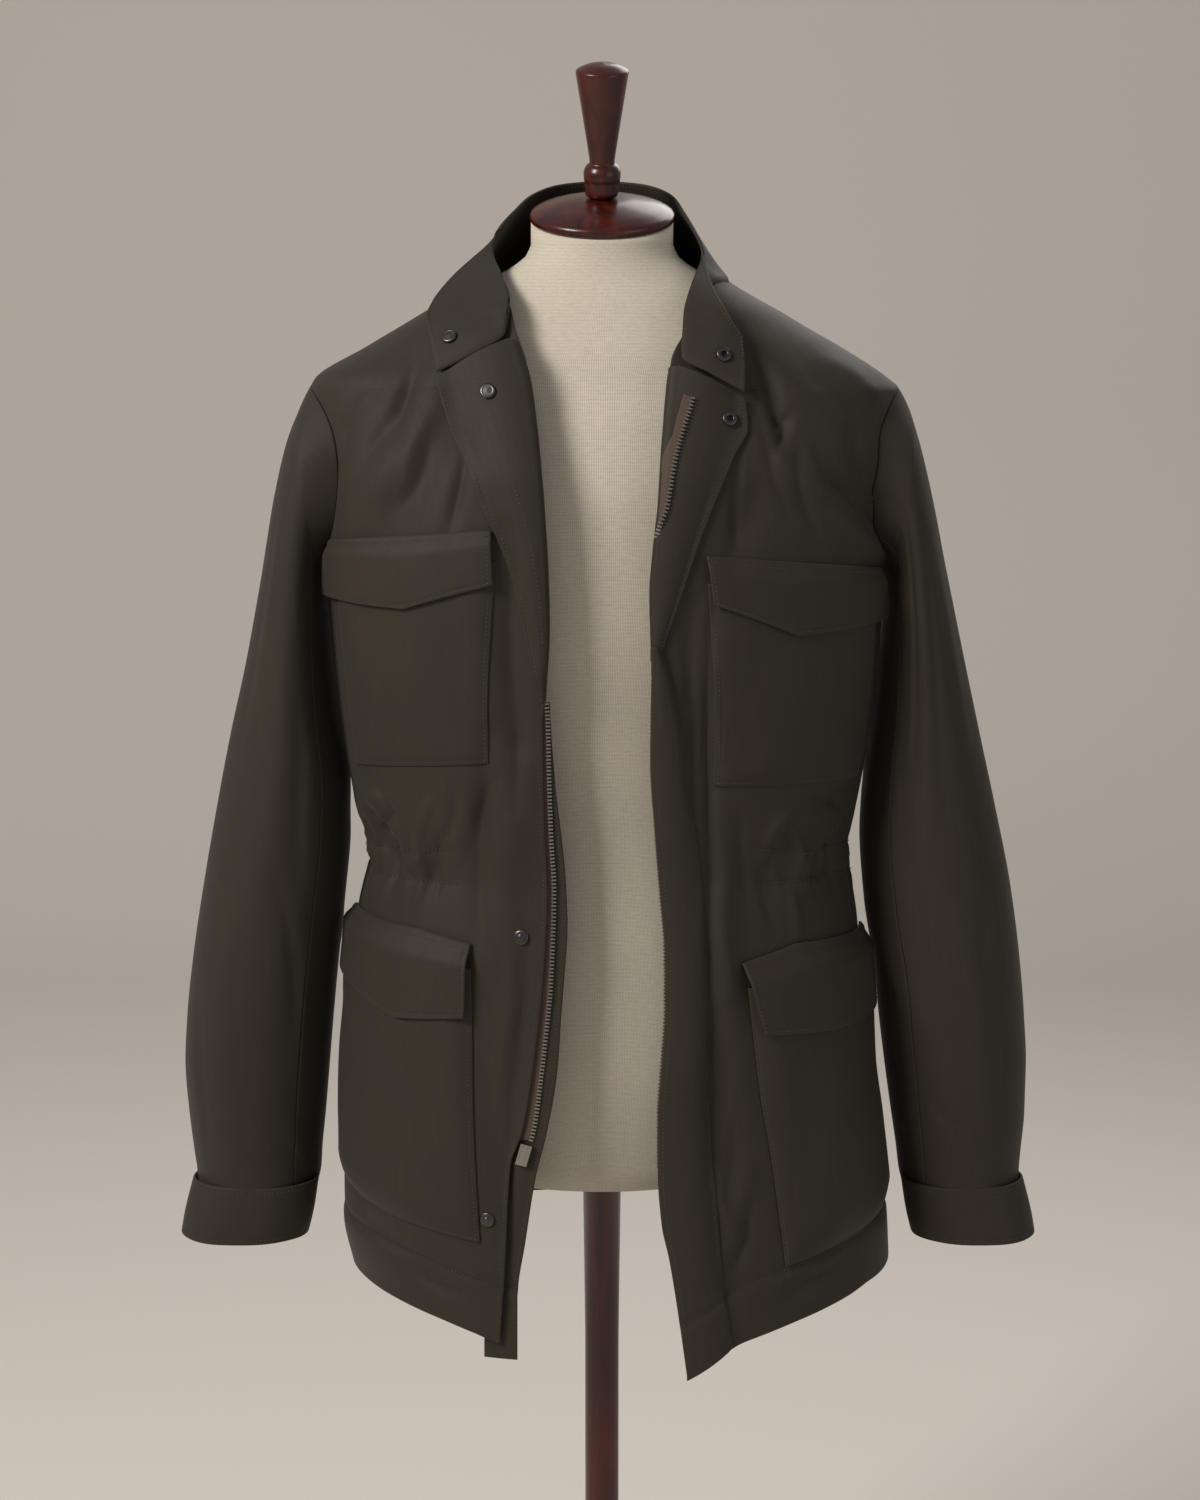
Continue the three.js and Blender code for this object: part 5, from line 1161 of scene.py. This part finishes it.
# %% Strips and tapes
PLACKET_STITCH = table(
    "z x", (617, 104), (663, 96.4), (686, 93.5), (747, 88.8), (799, 84.3), (887, 80), (940, 79), (976, 76),
    (1011, 74), (1047, 69.4), (1073, 63.3), (1120, 58), (1160, 50), (1186, 41),
)
ZIP_LINE = table("z x", (781, 62.6), (812, 53), (852, 47.3), (887, 43.3), (927, 39.4), (998, 36.9),
                 (1037, 39), (1091, 40.4), (1127, 41), (1142, 42))
UNDERLAP_EDGE = table(
    "z x", (626, 66.5), (677, 66.3), (721, 60), (774, 51.4), (808, 43), (859, 34.3), (903, 31.2), (943, 28),
    (970, 26.4), (1006, 27.9), (1037, 30.8), (1076, 35.2), (1120, 38.4), (1142, 39.4),
)
TAPE_WIDTH, TAPE_WALL = 11.0, 1.2
RIGHT_TAPE_BACK, LEFT_TAPE_BACK, LEFT_TAPE_WALL = 2.7, 4.0, 1.4
PLACKET_RISE = 24.0      # the placket's hem rises this much across it
left_edge, right_edge, zip_line, placket_stitch, underlap_edge = (
    partial(along, columns, "x")
    for columns in (LEFT_EDGE, RIGHT_EDGE, ZIP_LINE, PLACKET_STITCH, UNDERLAP_EDGE)
)


def strip_on(name, side, low, high, from_x, to_x, height, thick, nodes, material=None,
             groove=(), rise=0.0):
    """A strip that hangs on a front, from one line to another, given as x at each height."""
    def point_at(level, u, out):
        z = level + rise * u * np.maximum(0, (HEM_ZONE - level) / (HEM_ZONE - low))
        return front_point(side, mix(from_x(z), to_x(z), u), z, height(u, z) + out)

    wide = float(to_x(900.0) - from_x(900.0))
    piece = shell(name, point_at, mix(low, high, fine(high - low, 3.6)), fine(wide, 2.6), thick,
                  material=material, groove=groove)
    wear(piece, "hung", [f"front_{WORDS[side]}"], *nodes)


def placket_height(u, z):
    uneven = 0.9 * np.sin(z / 37) * np.sin(z / 83 + 1) * (1 - u)
    sewn = 1.6 * smooth(u, 0.9, 1.0)
    return 1.3 * LIFT + 3 * np.sin(np.pi * u) + 1.5 * (1 - u) + uneven - sewn


def underlap_height(_, z):
    """Behind the front at each height, the same all across."""
    return -WALL - 5.2 + 0.5 * np.sin(z / 41)


strip_on("cloth_placket", 1, 613, 1184, left_edge, placket_stitch, placket_height, FOLDED_WALL, ["placket"],
         groove=((4.0, 0.4),), rise=PLACKET_RISE)
strip_on("cloth_zip_underlap", -1, 626, 1141, underlap_edge, lambda z: right_edge(z) + 14, underlap_height,
         WALL, ["zip_underlap"], groove=((3.0, 0.25),))
strip_on("tape_right", -1, 803.5, 1139, zip_line, lambda z: zip_line(z) + TAPE_WIDTH,
         lambda u, z: -WALL - RIGHT_TAPE_BACK, TAPE_WALL, ["zip_tape_right"], tape)
strip_on("tape_left", 1, 775, 1158, lambda z: left_edge(z) + 2, lambda z: left_edge(z) + 2 + TAPE_WIDTH,
         lambda u, z: -WALL - LEFT_TAPE_BACK, LEFT_TAPE_WALL, ["zip_tape_left"], tape)


def lapel_tape_point(down, u, out):
    teeth = 0.29 * (1 - down / 0.62) + 0.06
    return lapel_point(1, down, mix(np.maximum(0.015, teeth - 0.12), teeth, u), FOLDED_WALL + LIFT + out)


piece = shell("tape_lapel", lapel_tape_point, mix(0.115, 0.62, fine(110, 2.4)), fine(9, 1.5), TAPE_WALL,
              material=tape)
wear(piece, "laid", ["lapel_left"], "zip_tape_lapel")

# %% [markdown]
# ## Stitches and zip teeth
# A seam is thousands of equal stitches along a line. Geometry Nodes repeat one small shape along every
# line at an even pitch. The lines are made first, as chains of points on the surfaces. The tree turns
# them to curves, samples them at the pitch, puts a shape on each sample along the line's direction, and
# varies it a little. It ends in real mesh, so that nothing is left for an export to drop.

# %% The repeating tree
REPEAT_INPUTS = {"Pitch": 0.003, "Long": 0.002, "Wide": 0.0006, "Deep": 0.0006, "Uneven": 0.1}


def repeat_tree(name, seed):
    """A tree that repeats a rounded or square shape along lines, with named inputs."""
    tree = bpy.data.node_groups.new(name, "GeometryNodeTree")
    sockets = {}
    tree.interface.new_socket("Lines", in_out="INPUT", socket_type="NodeSocketGeometry")
    for word, value in REPEAT_INPUTS.items():
        socket = tree.interface.new_socket(word, in_out="INPUT", socket_type="NodeSocketFloat")
        socket.default_value = value
        sockets[word] = socket.identifier
    for word, kind in (("Square", "NodeSocketBool"), ("Finish", "NodeSocketMaterial")):
        sockets[word] = tree.interface.new_socket(word, in_out="INPUT", socket_type=kind).identifier
    tree.interface.new_socket("Pieces", in_out="OUTPUT", socket_type="NodeSocketGeometry")
    add = node_adder(tree)
    given = add("NodeGroupInput").outputs
    lines = add("GeometryNodeMeshToCurve", {"Mesh": given["Lines"]})
    spaced = add("GeometryNodeResampleCurve", {"Curve": lines.outputs[0], "Length": given["Pitch"]},
                 mode="LENGTH")
    ball = add("GeometryNodeMeshIcoSphere", {"Radius": 0.5, "Subdivisions": 1})
    block = add("GeometryNodeMeshCube", {"Size": (1.0, 1.0, 1.0)})
    pick = add("GeometryNodeSwitch", {"Switch": given["Square"], "False": ball.outputs["Mesh"],
                                      "True": block.outputs["Mesh"]}, input_type="GEOMETRY")
    size = add("ShaderNodeCombineXYZ", {"X": given["Long"], "Y": given["Wide"], "Z": given["Deep"]})
    shape = add("GeometryNodeTransform", {"Geometry": pick.outputs["Output"], "Scale": size.outputs[0]})
    direction = add("GeometryNodeInputTangent")
    turned_x = add("FunctionNodeAlignRotationToVector", {"Vector": direction.outputs[0]}, axis="X")
    turned_z = add("FunctionNodeAlignRotationToVector",
                   {"Rotation": turned_x.outputs[0], "Vector": (0.0, -1.0, 0.15)}, axis="Z", pivot_axis="X")
    low, high = (maths(add, word, 1.0, given["Uneven"]) for word in ("SUBTRACT", "ADD"))
    chance = add("FunctionNodeRandomValue", {2: low, 3: high, "Seed": seed}, data_type="FLOAT")
    placed = add("GeometryNodeInstanceOnPoints",
                 {"Points": spaced.outputs[0], "Instance": shape.outputs[0],
                  "Rotation": turned_z.outputs[0], "Scale": chance.outputs[1]})
    real = add("GeometryNodeRealizeInstances", {"Geometry": placed.outputs[0]})
    painted = add("GeometryNodeSetMaterial", {"Geometry": real.outputs[0], "Material": given["Finish"]})
    add("NodeGroupOutput", {"Pieces": painted.outputs[0]})
    return tree, sockets


repeat, repeat_sockets = repeat_tree("repeat_along_lines", 11)


def repeated(name, paths, finish, pitch, size, uneven=0.08, square=False):
    """Runs the tree along some lines, given in millimetres, and keeps the result as a plain mesh."""
    points, edges = [], []
    for path in paths:
        first = len(points)
        points += (np.asarray(path) * MM).tolist()
        edges += [(first + i, first + i + 1) for i in range(len(path) - 1)]
    guide_mesh = bpy.data.meshes.new(name + "_lines")
    guide_mesh.from_pydata(points, edges, [])
    guide = add_object(name + "_lines", guide_mesh)
    modifier = guide.modifiers.new("repeat", "NODES")
    modifier.node_group = repeat
    values = {"Pitch": pitch * MM, "Long": size[0] * MM, "Wide": size[1] * MM, "Deep": size[2] * MM,
              "Uneven": uneven, "Square": square, "Finish": finish}
    for word, value in values.items():
        modifier[repeat_sockets[word]] = value
    graph = bpy.context.evaluated_depsgraph_get()
    mesh = bpy.data.meshes.new_from_object(guide.evaluated_get(graph))
    bpy.data.objects.remove(guide)
    mesh.materials.clear()
    mesh.materials.append(finish)
    mesh.polygons.foreach_set("use_smooth", [not square] * len(mesh.polygons))
    made = add_object(name, mesh)
    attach(made, "root")
    metres = sum(np.linalg.norm(np.diff(np.asarray(p), axis=0), axis=1).sum() for p in paths) * MM
    print(f"{name}: {metres:.2f} m of line, {len(mesh.polygons)} faces")
    return made


# %% Stitch lines
STITCH_PITCH = 3.2
STITCH_SIZE = (2.1, 0.8, 0.8)
STITCH_OUT, STITCH_SUNK = 0.9, 0.1       # body stitches stand out of their groove, the others sink in


def spread(low, high, count=160):
    return np.linspace(low, high, count)


def edge_path(point_at, wide, tall, inset, sides, out, top=0.0):
    """Lines that run inside a piece's edges: its inner side, its lower edge, its outer side or its top."""
    a, d = inset / wide, inset / tall
    across, start = spread(a, 1 - a), top / tall
    runs = {"in": (spread(start, 1 - d), a), "low": (1 - d, across), "out": (spread(1 - d, start), 1 - a),
            "top": (d, across)}
    return [point_at(*runs[side], out) for side in sides.split()]


paths = []
for hem_start, casing_start, end, count in ((-22.0, -34.0, -89.6, 260), (25.5, 34.0, 89.6, 260),
                                            (90.4, 90.4, 269.6, 500)):
    angles = spread(hem_start, end, count)
    paths.append(cloth(angles, hem_line(angles) + HEM_TURN, STITCH_OUT))
    angles = spread(casing_start, end, count)
    paths += [cloth(angles, casing_line(line, angles), STITCH_OUT) for line in ("high", "low")]
for kind, side in POCKETS:
    wide, tall = POCKET_SIZE[kind]
    paths += edge_path(partial(pocket_point, kind, side), wide, tall, POCKET_INSET, "in low out",
                       WALL - 0.2, top=30)
    for inset, sides in ((FLAP_INSET, "in low out"), (FLAP_TOP_INSET, "top")):
        paths += edge_path(partial(flap_point, kind, side), wide, FLAP_TALL, inset, sides,
                           FOLDED_WALL - 0.15, top=1.0)
levels = spread(660, 1150, 300)
for x, u in ((placket_stitch(levels) - 3.0, 0.93), (left_edge(levels) + 4.0, 0.1)):
    paths.append(front_point(1, x, levels, placket_height(u, levels) + FOLDED_WALL - STITCH_SUNK))
levels = spread(650, 1130, 300)
paths.append(front_point(-1, right_edge(levels) + 3.0, levels, 0.0))
paths.append(front_point(-1, underlap_edge(levels) + 3.0, levels,
                         underlap_height(0, levels) + WALL - STITCH_SUNK))
rows_down = spread(0.02, 0.97, 200)
lapel_wide = np.interp(rows_down, [0, 0.15, 1], [66, 62, 6]).clip(9)
for side in WORDS:
    paths.append(lapel_point(side, rows_down, 1 - EDGE_INSET / lapel_wide, FOLDED_WALL - STITCH_SUNK))
rows_down = spread(0.05, 0.86, 200)
paths.append(lapel_point(-1, rows_down, np.interp(rows_down, [0, 0.86], [0.62, 0.2]),
                         FOLDED_WALL - STITCH_SUNK))
collar_rise = 1 - EDGE_INSET / COLLAR_HIGH
for out in (-STITCH_SUNK, -FOLDED_WALL + STITCH_SUNK):
    paths.append(collar_point(collar_rise, spread(-0.985, 0.985, 700), out))
for end in WORDS:
    around = end * (1 - EDGE_INSET / COLLAR_LONG)
    paths.append(collar_point(spread(0.04, collar_rise, 60), around, -STITCH_SUNK))
for side in WORDS:
    for inset in (CUFF_INSET, CUFF_TOP - CUFF_BOTTOM - CUFF_INSET):
        paths.append(cuff_point(side, CUFF_TOP - inset, spread(0, 360, 240), -STITCH_SUNK))
repeated("topstitching", paths, thread, STITCH_PITCH, STITCH_SIZE)

# %% Zip teeth
TOOTH_PITCH = 2.8
TOOTH_SIZE = (1.35, 3.4, 2.4)            # along the zip, across it, and deep
levels = spread(804, 1140, 300)
right_teeth = front_point(-1, zip_line(levels) - 0.3, levels, -WALL - RIGHT_TAPE_BACK + TAPE_WALL / 2)
levels = spread(783, 1157, 300)
left_teeth = front_point(1, left_edge(levels) + 2.0, levels, -WALL - LEFT_TAPE_BACK + LEFT_TAPE_WALL / 2)
lapel_teeth = lapel_tape_point(spread(0.12, 0.61), 0.95, TAPE_WALL / 2 + 0.4)
repeated("zip_teeth", [right_teeth, left_teeth, lapel_teeth], zip_metal, TOOTH_PITCH,
         TOOTH_SIZE, 0.02, True)

# %% [markdown]
# ## Metal fasteners
# A snap has a cap on the outside of one layer and a ring socket or a stud on the other. Each is a profile
# turned about an axis, which is how such a part is stamped. Its axis is the direction in which the cloth
# faces at that place.

# %% Turned shapes
CENTRE_HOLE = 0.3        # radius of the flat cap where a profile meets its axis


def rounded(profile, passes=2):
    """The same profile with its corners cut finer, its two ends kept."""
    points = np.array(profile, float)
    for _ in range(passes):
        near = 0.8 * points[:-1] + 0.2 * points[1:]
        far = 0.2 * points[:-1] + 0.8 * points[1:]
        points = np.concatenate([points[:1], np.stack([near, far], axis=1).reshape(-1, 2), points[-1:]])
    return points


def turned(name, profile, sides, matrix, material, passes=2, closed=False):
    """A shape turned about +Z from a profile of radius and height, then placed by a matrix."""
    line = rounded(profile, passes)
    if closed:
        line = line[:-1]
    else:
        line[0, 0] = line[-1, 0] = CENTRE_HOLE
    angles = 2 * np.pi * lengthwise(sides)[:-1]
    radius, high = line[:, :1], line[:, 1:]
    points = np.stack([radius * np.cos(angles), radius * np.sin(angles), high + 0 * angles], axis=-1)
    at = np.arange(points[..., 0].size).reshape(-1, sides)
    caps = [] if closed else [at[0][::-1].tolist(), at[-1].tolist()]
    quads = quads_of(round_again(np.concatenate([at, at[:1]]) if closed else at))
    widest = line[:, 0].max()
    uv = np.stack([np.tile(angles * widest, len(line)), (high + radius + 0 * angles).ravel()], axis=1)
    placed = points.reshape(-1, 3) @ np.array(matrix.to_3x3()).T + np.array(matrix.translation)
    made = object_from(name, placed, quads, material, uv, caps=caps, lap=2 * np.pi * widest)
    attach(made, "root")
    return made


CAP_PROFILE = [(0, 0), (5.2, 0), (5.8, 0.5), (5.75, 1.0), (5.2, 1.5), (4.4, 1.7), (3.9, 1.55), (0, 1.75)]
RING_PROFILE = [(2.2, 0), (5.6, 0), (5.6, 1.0), (4.9, 1.8), (3.4, 1.9), (2.6, 1.7), (2.2, 1.1), (2.2, 0)]
STUD_PROFILE = [(0, 0), (5.6, 0), (5.6, 0.6), (4.6, 1.1), (2.5, 1.2), (2.0, 1.7), (2.25, 2.2), (1.6, 2.6),
                (0, 2.65)]


def seated(point_at, gap):
    """Matrix that stands a shape on a surface, given as a function of how far out a point lies."""
    low, high = (point_at(np.array([gap + more]))[0] for more in (0, 4))
    turn = Vector(high - low).to_track_quat("Z", "Y").to_matrix().to_4x4()
    return Matrix.Translation(Vector(low)) @ turn


def one(value):
    return np.array([value])


SEATS = {                # profile, the surface below as a function of how far out, and the gap
    "snap_cap_collar": (CAP_PROFILE, partial(collar_point, one(0.42), one(-0.935)), 0.8),
    "snap_cap_lapel": (CAP_PROFILE, partial(lapel_point, -1, one(0.125), one(0.47)), FOLDED_WALL + 0.8),
    "snap_socket_collar": (RING_PROFILE, partial(collar_point, one(0.42), one(0.915)), 0.8),
    "snap_socket_lapel": (RING_PROFILE, partial(lapel_point, 1, one(0.125), one(0.76)), FOLDED_WALL + 0.8),
    "snap_stud_waist": (STUD_PROFILE, partial(front_point, -1, one(61), one(962)), 0.7),
    "snap_stud_hem": (STUD_PROFILE, partial(front_point, -1, one(88.3), one(739.5)), 0.7),
}
for name, (profile, point_at, gap) in SEATS.items():
    fastener = turned("metal_" + name, profile, 40, seated(point_at, gap), gunmetal, 2,
                      closed=profile is RING_PROFILE)
    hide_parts(name)
print("fasteners", len(SEATS))

# %% Zip box
BOX, BOX_TURN = (9.0, 4.2, 17.0), 16.0   # wide, deep and tall, then degrees that it leans
BOX_PLACE = (60.5, 793.0, -WALL - 1.6)   # aside, up, and out of the front
RAIL, RAIL_ASIDE = (1.6, 0.8, 12.0), 2.2
box_mesh = bmesh.new()
for size, where in ((BOX, (0, 0, 0)), (RAIL, (RAIL_ASIDE, -BOX[1] / 2, 1.0)),
                    (RAIL, (-RAIL_ASIDE, -BOX[1] / 2, 1.0))):
    matrix = Matrix.Translation(where) @ Matrix.Diagonal((*size, 1.0))
    bmesh.ops.create_cube(box_mesh, size=1.0, matrix=matrix)
bmesh.ops.bevel(box_mesh, geom=box_mesh.edges[:], offset=0.35, segments=2, affect="EDGES", profile=0.6)
foot = front_point(-1, *map(one, BOX_PLACE))[0] - np.array([0, BOX[1] / 2, 0])
box_place = Matrix.Translation(Vector(foot)) @ Matrix.Rotation(math.radians(BOX_TURN), 4, "Y")
box_mesh.transform(Matrix.Scale(MM, 4) @ box_place)
mesh = bpy.data.meshes.new("metal_zip_box")
box_mesh.to_mesh(mesh)
box_mesh.free()
mesh.materials.append(zip_metal)
zip_box = add_object("metal_zip_box", mesh)
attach(zip_box, "root")
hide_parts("zip_box")
print("zip box at", (foot * MM).round(3))

# %% [markdown]
# ## The dress form and its stand
# The torso is papier-mache under tight linen, a stack of ovals like the jacket's body but smaller. The
# neck plate, the handle, the pole and the base are turned wood with a deep gloss. All are rebuilt finer
# than their solids, because many sides and rounded corners are what a gloss shows best.

# %% Torso
FORM = table(
    "z half front back",
    (742, 118, 92, 92), (760, 138, 102, 104), (850, 158, 112, 112), (930, 150, 110, 100),
    (1020, 136, 106, 84), (1100, 150, 112, 92), (1200, 172, 120, 104), (1280, 188, 118, 108),
    (1340, 196, 104, 104),
    (1374, 206, 90, 96), (1388, 194, 86, 92), (1400, 176.4, 82, 88), (1414, 152.6, 76, 82),
    (1427, 130.8, 71, 76), (1439, 109.6, 66, 70), (1450, 88, 60, 63), (1460, 70, 57, 58),
    (1469, 58.5, 55.5, 56), (1477, 55, 55, 55),
)
FORM_SQUARE, FORM_SIDES = 2.15, 144
NECK_RADIUS, NECK_TOP, CAP_TILT = 55.0, 1477.0, 16.0     # the neck is cut at this tilt, in degrees
LINEN_ROUND = 950.0      # length of the linen's pattern once round
LEAN = math.tan(math.radians(CAP_TILT))


def form_point(turn, z):
    power = 2 / FORM_SQUARE
    sine, cosine = sin_of(turn), cos_of(turn)
    deep = np.where(cosine > 0, along(FORM, "front", z), along(FORM, "back", z))
    return place(along(FORM, "half", z) * bent(sine, power), -deep * bent(cosine, power), z)


turns = 360 * lengthwise(FORM_SIDES)[:-1]
heights = np.concatenate([[742, 742.6, 744, 747, 752], np.arange(758, 1475, 5.0), [NECK_TOP]])
rings = form_point(turns[None, :], heights[:, None])
rings[0, :, :2] *= 0.975                 # the lowest two rings draw in, for a rounded edge
rings[1, :, :2] *= 0.99
top = rings[-1:].copy()
top[..., 2] = NECK_TOP + 2 + (top[..., 1] + NECK_RADIUS) * LEAN
rings = np.concatenate([rings, top])
at = np.arange(rings.shape[0] * FORM_SIDES).reshape(-1, FORM_SIDES)
from_back = np.mod(turns + 180, 360) / 360 * LINEN_ROUND
uv = np.stack([np.tile(from_back, len(rings)), rings[..., 2].ravel()], axis=1)
torso = object_from("linen_torso", rings.reshape(-1, 3), quads_of(round_again(at)), linen, uv,
                    caps=[at[0][::-1].tolist(), at[-1].tolist()], lap=LINEN_ROUND)
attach(torso, "root")
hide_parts("form_torso")
print("torso", len(torso.data.polygons), "faces")

# %% Turned wood
PLATE_PROFILE = [(0, 0), (54.5, 0), (56, 2), (56, 5.5), (54, 8), (46, 11.5), (35, 14.5), (20, 17.5),
                 (0, 18.5)]
HANDLE_PROFILE = [(0, 18.8), (13.2, 18.8), (13.4, 30), (14.4, 34.5), (14.3, 39), (12.4, 43), (9.8, 44.8),
                  (9.6, 47), (14, 75), (19.8, 111), (20.2, 113.5), (19.6, 115.6), (11, 119.6), (0, 121)]
BASE_RADIUS, BASE_HEIGHT, POLE_RADIUS = 190.0, 24.0, 14.0
POLE_PROFILE = [(0, BASE_HEIGHT + 6.3), (24, BASE_HEIGHT + 6.3), (24, BASE_HEIGHT + 22),
                (18, BASE_HEIGHT + 34), (POLE_RADIUS, BASE_HEIGHT + 42), (POLE_RADIUS, 720), (22, 728),
                (30, 734), (30, 741.7), (0, 741.7)]
BASE_PROFILE = [(0, 0), (BASE_RADIUS - 3, 0), (BASE_RADIUS, 3), (BASE_RADIUS, 11), (BASE_RADIUS - 5, 16),
                (150, 20), (70, BASE_HEIGHT), (0, BASE_HEIGHT + 6)]
tilted = Matrix.Translation((0, 0, NECK_TOP + 2 + NECK_RADIUS * LEAN + 0.3)) @ Matrix.Rotation(
    math.radians(CAP_TILT), 4, "X")
upright = Matrix.Identity(4)
WOOD = {
    "form_neck_plate": (PLATE_PROFILE, 96, tilted, 2), "form_handle": (HANDLE_PROFILE, 64, tilted, 3),
    "stand_pole": (POLE_PROFILE, 48, upright, 1), "stand_base": (BASE_PROFILE, 128, upright, 2),
}
for name, (profile, sides, matrix, passes) in WOOD.items():
    piece = turned("wood_" + name, profile, sides, matrix, mahogany, passes)
    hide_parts(name)
    print(name, len(piece.data.polygons), "faces")
